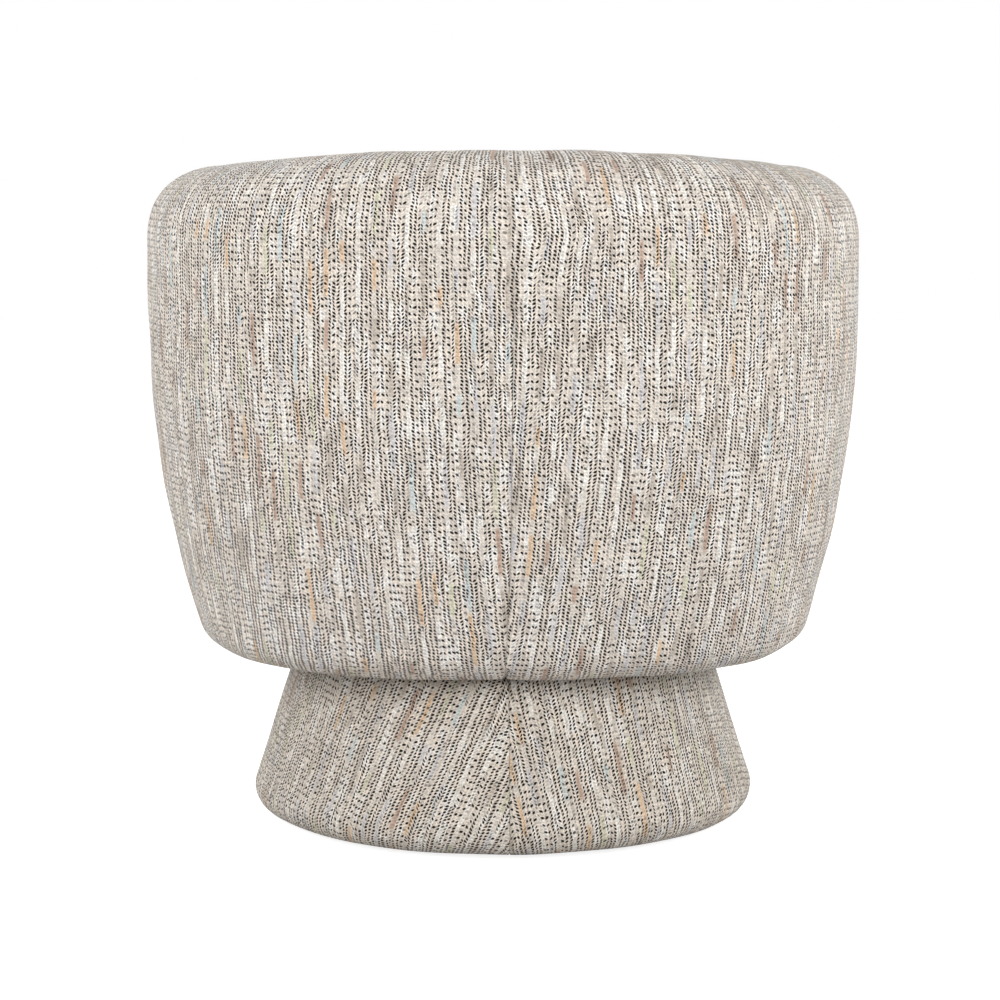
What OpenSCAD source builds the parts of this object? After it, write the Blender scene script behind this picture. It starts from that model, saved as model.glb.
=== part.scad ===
// Swivel rocker: an upholstered barrel tub that turns and rocks on a tapered round plinth.
// Z is up, the sitter faces -Y, and the origin is on the floor below the swivel's axis.
// The tub's wall is drawn as sections in two numbers: d, the depth in from the outside of
// the plan, and z, the height. Every layer of the wall uses the same plan and the same side.

/* [Tub plan] */
// Half width of the tub at its widest
half_w = 387; // [360:1:420]
// Depth from the swivel's axis to the outside of the back
back_depth = 345; // [335:1:375]
// Depth from the swivel's axis to the front of the tub
front_depth = 354; // [345:1:380]
// Squareness of the plan, where 2 is an ellipse
plan_power = 2.4; // [2.2:0.1:2.8]

/* [Tub side] */
// Height of the tub's lowest edge
tub_z = 186; // [184:1:196]
// Height at which the tub is widest
widest_z = 559; // [530:1:590]
// Radius of the long curve down the side
side_r = 1166; // [1000:2:1400]
// Width of the rounding along the bottom edge
corner_w = 58; // [50:1:62]
// Height of the rounding along the bottom edge
corner_h = 41; // [36:1:46]
// Radius of the lip inside the bottom edge
lip_r = 8; // [8:0.5:10]

/* [Rim] */
// Height of the roll at the sides, from where the side turns over to the crest
rim_rise = 84; // [76:1:92]
// Width of the roll outside its crest
outer_roll = 85; // [75:1:95]
// Width of the roll inside its crest
inner_roll = 45; // [40:1:55]
// Fullness of the roll, where 2 is an ellipse
roll_power = 2.33; // [2:0.01:2.6]
// Height of the crest at the middle of the back
back_h = 732; // [720:1:750]
// Height of the crest at the sides
side_h = 714; // [705:1:735]
// Height of the crest at the fronts of the arms
arm_h = 706; // [700:1:730]

/* [Upholstery] */
// Thickness of the tweed with its backing
cover_t = 3; // [2:0.5:3.5]
// Thickness of the padding over the outside liner
outer_pad_t = 9; // [7:0.5:11]
// Thickness of the outside liner
liner_t = 3; // [2:0.5:4]
// Slackness between soft layers
layer_gap = 0.4; // [0.3:0.1:0.5]
// Height of the seat cushion along its edges
cushion_edge_h = 104; // [90:1:115]
// Rise of the seat cushion's crown
cushion_crown = 24; // [15:1:35]
// Thickness of the pad on the seat deck
deck_t = 15; // [10:1:20]

/* [Frame] */
// Thickness of the plywood
board_t = 18; // [15:1:21]
// Thickness of the uprights
upright_t = 22; // [18:1:25]
// Depth of the frame inside the liner
frame_w = 44; // [36:1:50]
// Height of the seat ring's underside
ring_z = 208; // [208:1:212]
// Width of the seat ring
ring_w = 100; // [85:1:110]
// Height of the cross rails
rail_h = 25; // [20:1:30]
// Width of the cross rails
rail_w = 60; // [50:1:70]
// Height of the top of the deck ring
deck_z = 300; // [295:1:310]

/* [Plinth] */
// Largest radius of the plinth
plinth_r = 278; // [272:1:284]
// Height of the plinth's cover above the floor
plinth_z = 4; // [3:0.5:6]
// Height of the plinth's top edge
plinth_top = 185; // [182:0.5:186]
// Radius of the plinth's bottom edge
plinth_corner = 25; // [23:0.5:28]
// Radius of the plinth's top edge
plinth_round = 6; // [5:0.5:7]
// Lean of the plinth's wall from upright
plinth_lean = 18; // [17.5:0.5:20]
// Thickness of the padding on the plinth
plinth_pad_t = 8; // [6:0.5:9]
// Thickness of the plinth's bent wall
plinth_wall_t = 9; // [7:0.5:10]
// Height of the top face of the plinth's board
mech_z = 168; // [166:0.5:170]

/* [Mechanism] */
// Side of the two swivel plates
swivel_plate_w = 220; // [200:1:230]
// Side of the seat plate
seat_plate_w = 240; // [230:1:250]
// Thickness of the mechanism's steel
steel_t = 4; // [3:0.5:4]
// Diameter of the bearing's balls
ball_d = 8; // [7:0.5:8]
// Pitch radius of the bearing's balls
race_r = 60; // [55:1:65]
// Number of balls
ball_count = 20; // [16:1:22]
// Height of the rocking pivot
pivot_z = 206; // [205:0.5:207]
// Radius of the pivot pins
pin_r = 6; // [5:0.5:7]
// Radius of the swivel bolt
bolt_r = 8; // [6:0.5:9]
// Running clearance of pins and balls
run_gap = 0.05; // [0.03:0.01:0.08]
// Outer radius of the return springs
spring_r = 13; // [11:0.5:14]
// Radius of the springs' wire
wire_r = 1.6; // [1.4:0.1:1.8]
// Turns of each return spring
spring_turns = 5; // [4:1:6]

/* [Hidden] */

tweed = [0.74, 0.71, 0.67];
foam = [0.93, 0.90, 0.80];
ply = [0.80, 0.66, 0.46];
steel = [0.45, 0.46, 0.48];
black_cloth = [0.12, 0.12, 0.12];
nylon = [0.20, 0.20, 0.21];

// Length that every cut overruns by
over = 1;
// Roundness of exact circles
round_fn = 64;

// Angles round the plan: 0 is the sitter's left, 90 the back, 180 the right, 270 the front
step_a = 7.5;
arm_a = 30;
nose_a = 9.5;
left_wall = [for (i = [0 : (90 + arm_a) / step_a]) 90 - i * step_a];
whole_wall = [for (i = [0 : (180 + 2 * arm_a) / step_a]) 180 + arm_a - i * step_a];
front_a = arm_a + nose_a;
front_steps = 14;
front_wall = [for (i = [0 : front_steps]) -front_a - (180 - 2 * front_a) * i / front_steps];
nose_shares = [0, 0.4, 0.7, 0.88, 0.97, 1];
nose_end_share = 0.12;

// Steps along the lines of a section
lip_steps = 3;
corner_steps = 4;
side_steps = 6;
roll_steps = 6;
roll_turn = 90 / roll_steps;
seam_turn = 2 * roll_turn;

wall = outer_roll + inner_roll;
inner_lean_share = 0.03;
rim_z = side_h - rim_rise;

function reversed(list) = [for (i = [len(list) - 1 : -1 : 0]) list[i]];
function power(v, p) = sign(v) * pow(abs(v), p);

// A point of the plan at an angle and a depth in from the outside
function plan_way(u) = [power(cos(u), 2 / plan_power), power(sin(u), 2 / plan_power)];
function plan(u, d) =
    let (way = plan_way(u), reach = sin(u) < 0 ? front_depth : back_depth)
    [(half_w - d) * way[0], (reach - d) * way[1]];
// How far the plan reaches along Y at a given X, or along X at a given Y
function reach_y(x, d, reach) =
    (reach - d) * pow(1 - pow(abs(x) / (half_w - d), plan_power), 1 / plan_power);
function reach_x(y, d) =
    let (reach = y < 0 ? front_depth : back_depth)
    (half_w - d) * pow(1 - pow(abs(y) / (reach - d), plan_power), 1 / plan_power);

// Height of the crest round the tub, and a section's heights stretched to it
function crest(u) = sin(u) > 0
    ? side_h + (back_h - side_h) * pow(sin(u), 2)
    : side_h - (side_h - arm_h) * min(1, -sin(u) / sin(front_a));
function lifted(u, z) = z <= rim_z
    ? z
    : rim_z + (z - rim_z) * (crest(u) - rim_z) / (side_h - rim_z);
function placed(u, q) = let (p = plan(u, q[0])) [p[0], p[1], lifted(u, q[1])];

// The side's long curve, and the rounded corner under it, which meets it in line
function side_d(z) = z >= widest_z ? 0 : side_r - sqrt(pow(side_r, 2) - pow(widest_z - z, 2));
corner_z = tub_z + corner_h;
corner_lean = (widest_z - corner_z) / sqrt(pow(side_r, 2) - pow(widest_z - corner_z, 2));
corner_turn = atan(corner_w / (corner_h * corner_lean));
side_z = tub_z + corner_h * (1 - cos(corner_turn));
lip_d = side_d(side_z) + corner_w * sin(corner_turn);
lip_turn = asin(lip_r / corner_w);
lip_z = corner_z - corner_h * cos(lip_turn) + lip_r;
lip_top = ring_z - layer_gap;

// Lines of a section, each e inside the outer surface
function lip_line(e, top = lip_top) = concat(
    [[lip_d - e, top]],
    [for (i = [0 : lip_steps - 1])
        let (q = 90 * (1 - i / lip_steps))
        [lip_d - lip_r + (lip_r - e) * sin(q), lip_z - (lip_r - e) * cos(q)]]
);
function corner_line(e) =
    let (start = asin(lip_r / (corner_w - e)))
    [for (i = [0 : corner_steps])
        let (q = start + (corner_turn - start) * i / corner_steps)
        [lip_d - (corner_w - e) * sin(q), corner_z - (corner_h - e) * cos(q)]];
function side_line(e, low, high, steps) =
    [for (i = [1 : steps]) let (z = low + (high - low) * i / steps) [side_d(z) + e, z]];
function outer_roll_line(e) = [for (i = [1 : roll_steps]) let (q = 90 * i / roll_steps)
    [outer_roll - (outer_roll - e) * pow(cos(q), 2 / roll_power),
        rim_z + (side_h - rim_z - e) * pow(sin(q), 2 / roll_power)]];
function inner_roll_line(e, from, to, steps) =
    [for (i = [0 : steps]) let (q = from + (to - from) * i / steps)
        [outer_roll + (inner_roll - e) * pow(cos(q), 2 / roll_power),
            rim_z + (side_h - rim_z - e) * pow(sin(q), 2 / roll_power)]];
function inner_d(z) = wall + inner_lean_share * (rim_z - z);
function inside_line(e, high, low, steps) =
    [for (i = [1 : steps]) let (z = high + (low - high) * i / steps) [inner_d(z) - e, z]];
function outer_line(e, top = lip_top) =
    concat(lip_line(e, top), corner_line(e), side_line(e, side_z, rim_z, side_steps));

// Depths of the layers behind the outer surface
pad_e = cover_t + layer_gap;
liner_e = pad_e + outer_pad_t + layer_gap;
frame_e = liner_e + liner_t + layer_gap;
frame_in = frame_e + frame_w;
ring_top = ring_z + board_t;
rail_top = ring_top + rail_h;
ring_in = 4;
ring_d = side_d(ring_top) + frame_e + ring_in;
top_rail_top = rim_z - cover_t - pad_e;
top_rail_z = top_rail_top - board_t;

// Heights of the seat
web_t = 2;
web_w = 50;
web_over_z = deck_z + web_t + layer_gap;
foam_z = web_over_z + web_t + layer_gap;
deck_pad_top = foam_z + deck_t;
cushion_z = deck_pad_top + layer_gap;
cushion_gap = 4;
cushion_d = inner_d(cushion_z) + cushion_gap;
cushion_front = 4;
border_recess = 2;

// Faces between loops of points, numbered from a first one. Each four-sided patch is folded
// along its shorter diagonal, so that the two sides of a thin wall fold the same way.
function skin(rows, first) =
    let (n = len(rows[0]))
    [for (i = [0 : len(rows) - 2], j = [0 : n - 1])
        each let (k = (j + 1) % n, a = first + i * n + j, b = first + i * n + k,
            along = norm(rows[i][j] - rows[i + 1][k]), across = norm(rows[i][k] - rows[i + 1][j]))
        along < across ? [[a, b + n, b], [a, a + n, b + n]] : [[a, a + n, b], [b, a + n, b + n]]];

// Triangles that fill a flat loop of points, numbered from a first one: the loop's corners are
// cut off one at a time, each where its triangle holds no other point
function flat(loop) =
    let (heights = [for (p = loop) p[2]])
    max(heights) - min(heights) < over
        ? [for (p = loop) [p[0], p[1]]]
        : [for (p = loop) [norm([p[0], p[1]]), p[2]]];
function hand_of(q, i = 0) =
    i == len(q) ? 0 : cross(q[i], q[(i + 1) % len(q)]) + hand_of(q, i + 1);
function beside(a, b, p) = cross(b - a, p - a);
function is_corner(q, left, k, hand) =
    let (n = len(left), a = q[left[(k + n - 1) % n]], b = q[left[k]], c = q[left[(k + 1) % n]])
    hand * beside(a, b, c) > 0 && len([for (i = left)
        let (p = q[i])
        if (p != a && p != b && p != c && hand * beside(a, b, p) >= 0
            && hand * beside(b, c, p) >= 0 && hand * beside(c, a, p) >= 0) i]) == 0;
function first_corner(q, left, hand, k = 0) =
    k >= len(left) || is_corner(q, left, k, hand) ? k : first_corner(q, left, hand, k + 1);
function cut_corners(q, left, hand) =
    let (n = len(left), k = first_corner(q, left, hand))
    n < 4 ? [left] : concat([[left[(k + n - 1) % n], left[k], left[(k + 1) % n]]],
        cut_corners(q, [for (i = [0 : n - 1]) if (i != k) left[i]], hand));
function filled(loop, first) =
    let (q = flat(loop))
    [for (t = cut_corners(q, [for (i = [0 : len(q) - 1]) i], sign(hand_of(q)))) [for (i = t) first + i]];
function turned(faces) = [for (f = faces) reversed(f)];

// A solid through loops of points, closed flat at both ends
module loft(rows) {
    last = (len(rows) - 1) * len(rows[0]);
    ends = concat(filled(rows[0], 0), turned(filled(rows[len(rows) - 1], last)));
    polyhedron(points = [for (row = rows) each row], faces = concat(ends, skin(rows, 0)));
}

// A wall between an outer and an inner set of loops, open at the first and closed at the last
module shell(outer, inner) {
    n = len(outer[0]);
    m = len(outer);
    k = n * m;
    points = concat([for (row = outer) each row], [for (row = inner) each row]);
    sides = concat(skin(outer, 0), turned(skin(inner, k)));
    tips = concat(turned(filled(outer[m - 1], k - n)), filled(inner[m - 1], 2 * k - n));
    mouth = [for (j = [0 : n - 1]) each let (b = (j + 1) % n) [[j, b, k + b], [j, k + b, k + j]]];
    polyhedron(points = points, faces = concat(sides, tips, mouth));
}

module wall_layer(section, angles) {
    loft([for (u = angles) [for (q = section) placed(u, q)]]);
}

module mirrored() {
    children();
    mirror([1, 0, 0]) children();
}

module plan_band(outer_d, inner_d, angles, low, high) {
    outline = concat([for (u = angles) plan(u, outer_d)],
        [for (u = reversed(angles)) plan(u, inner_d)]);
    translate([0, 0, low]) linear_extrude(high - low) polygon(outline);
}

module plan_disc(d, low, high) {
    count = 360 / step_a;
    translate([0, 0, low]) linear_extrude(high - low)
        polygon([for (i = [0 : count - 1]) plan(i * step_a, d)]);
}

module drill(r, low, high) {
    translate([0, 0, low - over]) cylinder(r = r, h = high - low + 2 * over, $fn = round_fn);
}

module at_corners(x, y) {
    for (sx = [-1, 1], sy = [-1, 1]) translate([sx * x, sy * y, 0]) children();
}

// Plinth: its outline as a line of radius and height, e inside the outer surface
plinth_cr = plinth_r - plinth_corner;
plinth_cz = plinth_z + plinth_corner;
lean_r = plinth_cr + plinth_corner * cos(plinth_lean);
lean_z = plinth_cz + plinth_corner * sin(plinth_lean);
function plinth_wall_r(e, z) = lean_r - (z - lean_z) * tan(plinth_lean) - e / cos(plinth_lean);
plinth_round_z = plinth_top - plinth_round;
plinth_round_r = plinth_wall_r(plinth_round, plinth_round_z);
plinth_arc_steps = 9;
function plinth_corner_line(e) = [for (i = [0 : plinth_arc_steps])
    let (q = -90 + (90 + plinth_lean) * i / plinth_arc_steps, r = plinth_corner - e)
    [plinth_cr + r * cos(q), plinth_cz + r * sin(q)]];
function plinth_round_line(e) = [for (i = [0 : lip_steps])
    let (q = plinth_lean + (90 - plinth_lean) * i / lip_steps, r = plinth_round - e)
    [plinth_round_r + r * cos(q), plinth_round_z + r * sin(q)]];
plinth_pad_e = cover_t + layer_gap;
plinth_ring_e = plinth_pad_e + plinth_pad_t + layer_gap;
plinth_in_e = plinth_ring_e + plinth_wall_t;
base_ring_z = plinth_cz - (plinth_corner - plinth_ring_e);
base_ring_top = plinth_cz + (plinth_corner - plinth_ring_e) * sin(plinth_lean);
base_wall_top = plinth_top - cover_t - layer_gap;
base_pad_top = base_wall_top - plinth_round / 2;
fold_in = plinth_wall_r(plinth_in_e, base_wall_top) - layer_gap - cover_t;
fold_h = 12;
base_ring_w = 75;
under_r = plinth_cr - 2 * plinth_corner + base_ring_w / 3;
board_z = mech_z - board_t;
glide_r = 13;
glide_pitch_r = under_r - glide_r - 2 * cover_t;
glide_count = 6;
rib_count = 6;
glide_screw_r = 2.5;
glide_head_r = 5;
glide_head_h = 3;
glide_head_z = 2.5;
glide_screw_grip = 10;

module base_cover_half(turn) {
    outer = concat([[under_r, plinth_z]], plinth_corner_line(0), plinth_round_line(0),
        [[fold_in, plinth_top], [fold_in, plinth_top - cover_t - fold_h]]);
    inner = concat([[under_r, plinth_z + cover_t]], plinth_corner_line(cover_t),
        plinth_round_line(cover_t), [[fold_in + cover_t, plinth_top - cover_t],
            [fold_in + cover_t, plinth_top - cover_t - fold_h]]);
    color(tweed) rotate([0, 0, turn])
        rotate_extrude(angle = 180, $fn = round_fn) polygon(concat(outer, reversed(inner)));
}

module base_cover_left() {
    base_cover_half(-90);
}

module base_cover_right() {
    base_cover_half(90);
}

module base_padding() {
    e = plinth_pad_e;
    f = plinth_pad_e + plinth_pad_t;
    outer = concat([[under_r, plinth_z + e]], plinth_corner_line(e),
        [[plinth_wall_r(e, base_pad_top), base_pad_top]]);
    inner = concat([[under_r, plinth_z + f]], plinth_corner_line(f),
        [[plinth_wall_r(f, base_pad_top), base_pad_top]]);
    color(foam) rotate_extrude($fn = round_fn) polygon(concat(outer, reversed(inner)));
}

module base_wall() {
    color(ply) rotate_extrude($fn = round_fn) polygon([
        [plinth_wall_r(plinth_ring_e, base_ring_top), base_ring_top],
        [plinth_wall_r(plinth_ring_e, base_wall_top), base_wall_top],
        [plinth_wall_r(plinth_in_e, base_wall_top), base_wall_top],
        [plinth_wall_r(plinth_in_e, base_ring_top), base_ring_top]
    ]);
}

module base_top_board() {
    e = plinth_in_e + layer_gap;
    color(ply) difference() {
        rotate_extrude($fn = round_fn) polygon([
            [bolt_head_r + 2 * steel_t, board_z], [plinth_wall_r(e, board_z), board_z],
            [plinth_wall_r(e, mech_z), mech_z], [bolt_head_r + 2 * steel_t, mech_z]
        ]);
        at_corners(mount_x, mount_x) drill(mount_r + layer_gap, board_z, mech_z);
    }
}

module base_bottom_ring() {
    inner = plinth_cr - base_ring_w;
    color(ply) difference() {
        rotate_extrude($fn = round_fn) polygon(concat([[inner, base_ring_z]],
            plinth_corner_line(plinth_ring_e), [[inner, base_ring_top]]));
        at_glides() drill(glide_screw_r + run_gap, base_ring_z, base_ring_z + glide_screw_grip);
    }
}

module base_ribs() {
    e = plinth_in_e + layer_gap;
    inner = plinth_cr - base_ring_w;
    rib_w = 60;
    color(ply) for (i = [0 : rib_count - 1]) rotate([0, 0, i * 360 / rib_count]) rotate([90, 0, 0])
        linear_extrude(board_t, center = true) polygon([
            [inner, base_ring_top], [plinth_wall_r(e, base_ring_top), base_ring_top],
            [plinth_wall_r(e, board_z), board_z], [plinth_wall_r(e, board_z) - rib_w, board_z]
        ]);
}

module base_bottom_cloth() {
    color(black_cloth) translate([0, 0, base_ring_z - cloth_t])
        cylinder(r = glide_pitch_r - glide_r - cover_t, h = cloth_t, $fn = round_fn);
}

module at_glides() {
    for (i = [0 : glide_count - 1]) rotate([0, 0, (i + 0.5) * 360 / glide_count])
        translate([glide_pitch_r, 0, 0]) children();
}

module base_glides() {
    color(nylon) at_glides() difference() {
        cylinder(r = glide_r, h = base_ring_z, $fn = round_fn);
        drill(glide_screw_r + run_gap, glide_head_z, base_ring_z);
        translate([0, 0, -over])
            cylinder(r = glide_head_r + run_gap, h = over + glide_head_z + glide_head_h, $fn = round_fn);
    }
}

module glide_screws() {
    color(steel) at_glides() translate([0, 0, glide_head_z]) {
        cylinder(r = glide_head_r, h = glide_head_h, $fn = round_fn);
        cylinder(r = glide_screw_r, h = base_ring_z + glide_screw_grip - glide_head_z, $fn = round_fn);
    }
}

// Mechanism: two plates with balls between them, a bracket on the upper one, and the seat plate
groove = ball_d / 8;
cloth_t = 0.8;
ball_r = ball_d / 2;
lower_top = mech_z + steel_t;
ball_z = lower_top + ball_r - groove;
upper_z = ball_z + ball_r - groove;
upper_top = upper_z + steel_t;
cage_t = ball_d / 4;
cage_w_share = 2.2;
cage_w = cage_w_share * ball_d;
mount_r = 4;
mount_x = swivel_plate_w / 2 - 4 * mount_r;
mount_head_r = 2 * mount_r;
mount_head_h = (upper_z - lower_top) / 2;
bolt_head_share = 1.7;
bolt_head_h_share = 0.6;
nut_h_share = 0.9;
bolt_head_r = bolt_head_share * bolt_r;
bolt_head_h = bolt_head_h_share * bolt_r;
washer_t = 2;
nut_h = nut_h_share * bolt_r;
nut_z = upper_top + layer_gap + washer_t;

module plate(side, low, thick) {
    translate([-side / 2, -side / 2, low]) cube([side, side, thick]);
}

module race_groove() {
    rotate_extrude($fn = round_fn) translate([race_r, ball_z]) circle(r = ball_r + run_gap, $fn = round_fn);
}

module swivel_lower_plate() {
    color(steel) difference() {
        plate(swivel_plate_w, mech_z, steel_t);
        drill(bolt_r + run_gap, mech_z, lower_top);
        at_corners(mount_x, mount_x) drill(mount_r + run_gap, mech_z, lower_top);
        race_groove();
    }
}

module swivel_mount_bolts() {
    color(steel) at_corners(mount_x, mount_x) {
        translate([0, 0, board_z - steel_t])
            cylinder(r = mount_r, h = lower_top + mount_head_h - board_z + steel_t, $fn = round_fn);
        translate([0, 0, lower_top]) cylinder(r = mount_head_r, h = mount_head_h, $fn = round_fn);
    }
}

module swivel_mount_nuts() {
    color(steel) at_corners(mount_x, mount_x) difference() {
        translate([0, 0, board_z - steel_t]) cylinder(r = mount_head_r, h = steel_t, $fn = 6);
        drill(mount_r + run_gap, board_z - steel_t, board_z);
    }
}

module swivel_bolt() {
    color(steel) {
        translate([0, 0, mech_z - bolt_head_h])
            cylinder(r = bolt_head_r, h = bolt_head_h, $fn = 6);
        translate([0, 0, mech_z - bolt_head_h])
            cylinder(r = bolt_r, h = nut_z + nut_h + bolt_head_h - mech_z, $fn = round_fn);
    }
}

module swivel_washer() {
    color(steel) difference() {
        translate([0, 0, nut_z - washer_t]) cylinder(r = 2 * bolt_r, h = washer_t, $fn = round_fn);
        drill(bolt_r + run_gap, nut_z - washer_t, nut_z);
    }
}

module swivel_nut() {
    color(steel) difference() {
        translate([0, 0, nut_z]) cylinder(r = bolt_head_r, h = nut_h, $fn = 6);
        drill(bolt_r + run_gap, nut_z, nut_z + nut_h);
    }
}

module at_balls() {
    for (i = [0 : ball_count - 1]) rotate([0, 0, i * 360 / ball_count])
        translate([race_r, 0, 0]) children();
}

module ball_cage() {
    color(nylon) difference() {
        translate([0, 0, ball_z - cage_t / 2]) difference() {
            cylinder(r = race_r + cage_w / 2, h = cage_t, $fn = round_fn);
            translate([0, 0, -over])
                cylinder(r = race_r - cage_w / 2, h = cage_t + 2 * over, $fn = round_fn);
        }
        at_balls() drill(ball_r + run_gap, ball_z - cage_t / 2, ball_z + cage_t / 2);
    }
}

module bearing_balls() {
    color(steel) at_balls() translate([0, 0, ball_z]) sphere(r = ball_r, $fn = round_fn);
}

module swivel_upper_plate() {
    color(steel) difference() {
        plate(swivel_plate_w, upper_z, steel_t);
        drill(bolt_r + run_gap, upper_z, upper_top);
        race_groove();
        at_rivets() drill(rivet_r + run_gap, upper_z, upper_top);
    }
}

// Rocking bracket: two cheeks outside the seat plate's two ears
ear_x = 84;
ear_w = 30;
ear_gap = 1.5;
bracket_top = upper_top + steel_t;
ear_z = pivot_z - pin_r - steel_t;
cheek_top = pivot_z + pin_r + steel_t;
plate_z = ring_top - steel_t;
pin_head_h = 2;
bush_t = 1.5;
rivet_r = 3;
rivet_x = ear_x - 4 * rivet_r;
rivet_y = ear_w + rivet_r;
bracket_y = rivet_y + 3 * rivet_r;
bore_x = 4 * bolt_r;

module at_rivets() {
    at_corners(rivet_x, rivet_y) children();
}

module rocker_bracket() {
    cheek_x = ear_x + steel_t / 2 + ear_gap;
    color(steel) difference() {
        union() {
            translate([-cheek_x - steel_t, -bracket_y, upper_top])
                cube([2 * (cheek_x + steel_t), 2 * bracket_y, steel_t]);
            mirrored() translate([cheek_x, -ear_w / 2, upper_top])
                cube([steel_t, ear_w, cheek_top - upper_top]);
        }
        drill(bore_x, upper_top, bracket_top);
        at_rivets() drill(rivet_r + run_gap, upper_top, bracket_top);
        pin_hole(pin_r + run_gap);
    }
}

module pin_hole(r) {
    long = swivel_plate_w;
    translate([-long / 2, 0, pivot_z]) rotate([0, 90, 0]) cylinder(r = r, h = long, $fn = round_fn);
}

module bracket_rivets() {
    color(steel) at_rivets() {
        translate([0, 0, upper_z]) cylinder(r = rivet_r, h = bracket_top - upper_z, $fn = round_fn);
        translate([0, 0, bracket_top])
            cylinder(r = 2 * rivet_r, h = rivet_r / 2, $fn = round_fn);
    }
}

module rocker_pins() {
    inner_x = ear_x - steel_t / 2 - ear_gap;
    outer_x = ear_x + steel_t / 2 + ear_gap + steel_t;
    color(steel) mirrored() translate([0, 0, pivot_z]) rotate([0, 90, 0]) {
        translate([0, 0, inner_x]) cylinder(r = pin_r, h = outer_x - inner_x + pin_head_h, $fn = round_fn);
        translate([0, 0, outer_x]) cylinder(r = pin_r + 2 * bush_t, h = pin_head_h, $fn = round_fn);
    }
}

module rocker_bushes() {
    bush_w = steel_t + ear_gap;
    color(nylon) mirrored() translate([ear_x - bush_w / 2, 0, pivot_z]) rotate([0, 90, 0])
        difference() {
            cylinder(r = pin_r + bush_t - run_gap, h = bush_w, $fn = round_fn);
            translate([0, 0, -over]) cylinder(r = pin_r + run_gap, h = bush_w + 2 * over, $fn = round_fn);
        }
}

// Return springs, each one wire wound from the upper plate to the seat plate
spring_x = 45;
spring_y = 85;
spring_low = upper_top + wire_r + layer_gap / 2;
spring_high = plate_z - wire_r - layer_gap / 2;
turn_steps = 12;
wire_sides = 5;
function wire_place(turns) = [
    (spring_r - wire_r) * cos(360 * turns),
    (spring_r - wire_r) * sin(360 * turns),
    spring_low + (spring_high - spring_low) * turns / spring_turns
];

module spring() {
    rows = [for (i = [0 : spring_turns * turn_steps])
        let (turns = i / turn_steps, c = wire_place(turns), out = [cos(360 * turns), sin(360 * turns), 0])
        [for (j = [0 : wire_sides - 1])
            let (q = -360 * j / wire_sides)
            c + out * wire_r * cos(q) + [0, 0, wire_r * sin(q)]]];
    loft(rows);
}

module rocker_springs() {
    color(steel) at_corners(spring_x, spring_y) spring();
}

// Rubber stops just clear of the seat plate at the ends of its rock
stop_r = 11;
stop_y = 95;
rock_back_a = 5;
rock_forward_a = 4;
stop_gap = 0.6;
function stop_top(a, y) =
    pivot_z + (plate_z - pivot_z) * cos(a) - (y + stop_r) * tan(a) - stop_gap;

module rocker_stops() {
    color(nylon) for (stop = [[stop_y, rock_back_a], [-stop_y, rock_forward_a]])
        translate([0, stop[0], upper_top])
            cylinder(r = stop_r, h = stop_top(stop[1], stop_y) - upper_top, $fn = round_fn);
}

seat_bolt_r = 4;
seat_bolt_x = ear_x;
seat_bolt_y = seat_plate_w / 2 - 5 * seat_bolt_r;

module seat_plate() {
    color(steel) difference() {
        union() {
            plate(seat_plate_w, plate_z, steel_t);
            mirrored() translate([ear_x - steel_t / 2, -ear_w / 2, ear_z])
                cube([steel_t, ear_w, plate_z - ear_z]);
        }
        at_corners(seat_bolt_x, seat_bolt_y) drill(seat_bolt_r + run_gap, plate_z, ring_top);
        pin_hole(pin_r + bush_t);
    }
}

module seat_plate_bolts() {
    color(steel) at_corners(seat_bolt_x, seat_bolt_y) {
        translate([0, 0, plate_z - seat_bolt_r])
            cylinder(r = 2 * seat_bolt_r, h = seat_bolt_r, $fn = 6);
        translate([0, 0, plate_z - seat_bolt_r])
            cylinder(r = seat_bolt_r, h = rail_top + 2 * seat_bolt_r - plate_z, $fn = round_fn);
    }
}

module seat_plate_nuts() {
    color(steel) at_corners(seat_bolt_x, seat_bolt_y) difference() {
        translate([0, 0, rail_top]) cylinder(r = 2 * seat_bolt_r, h = seat_bolt_r, $fn = 6);
        drill(seat_bolt_r + run_gap, rail_top, rail_top + seat_bolt_r);
    }
}

// Tub frame
module seat_ring() {
    color(ply) difference() {
        plan_disc(ring_d, ring_z, ring_top);
        plan_disc(ring_d + ring_w, ring_z - over, ring_top + over);
    }
}

module cross_rails() {
    end_d = ring_d + ring_w / 2;
    back_y = reach_y(ear_x + rail_w / 2, end_d, back_depth);
    front_y = reach_y(ear_x + rail_w / 2, end_d, front_depth);
    color(ply) difference() {
        mirrored() translate([ear_x - rail_w / 2, -front_y, ring_top])
            cube([rail_w, back_y + front_y, rail_h]);
        at_corners(seat_bolt_x, seat_bolt_y) drill(seat_bolt_r + run_gap, ring_top, rail_top);
    }
}

upright_angles = [-22.5, 0, 30, 60, 90, 120, 150, 180, 202.5];

// Each upright is a board set square to the wall at its angle, held in from the liner so that its
// corners stay inside it, and its inner edge has a ledge that the deck ring rests on
upright_in = 1;

module upright(u) {
    e = frame_e + upright_in;
    outer = concat([for (q = wall_line(e)) if (q[1] < top_rail_z) q],
        [[side_d(top_rail_z) + e, top_rail_z]]);
    inner = [[frame_in, top_rail_z], [frame_in, deck_z - board_t],
        [frame_in + frame_w / 2, deck_z - board_t], [ring_d + frame_w, ring_top]];
    along = plan(u + step_a, e) - plan(u - step_a, e);
    out = [along[1], -along[0]] / norm(along);
    foot = plan(u, 0);
    translate([foot[0], foot[1], 0]) rotate([0, 0, atan2(out[1], out[0])]) rotate([90, 0, 0])
        linear_extrude(upright_t, center = true)
            polygon([for (q = concat(outer, inner)) [-q[0] * plan_way(u) * out, q[1]]]);
}

module frame_uprights() {
    color(ply) for (u = upright_angles) upright(u);
}

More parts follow.
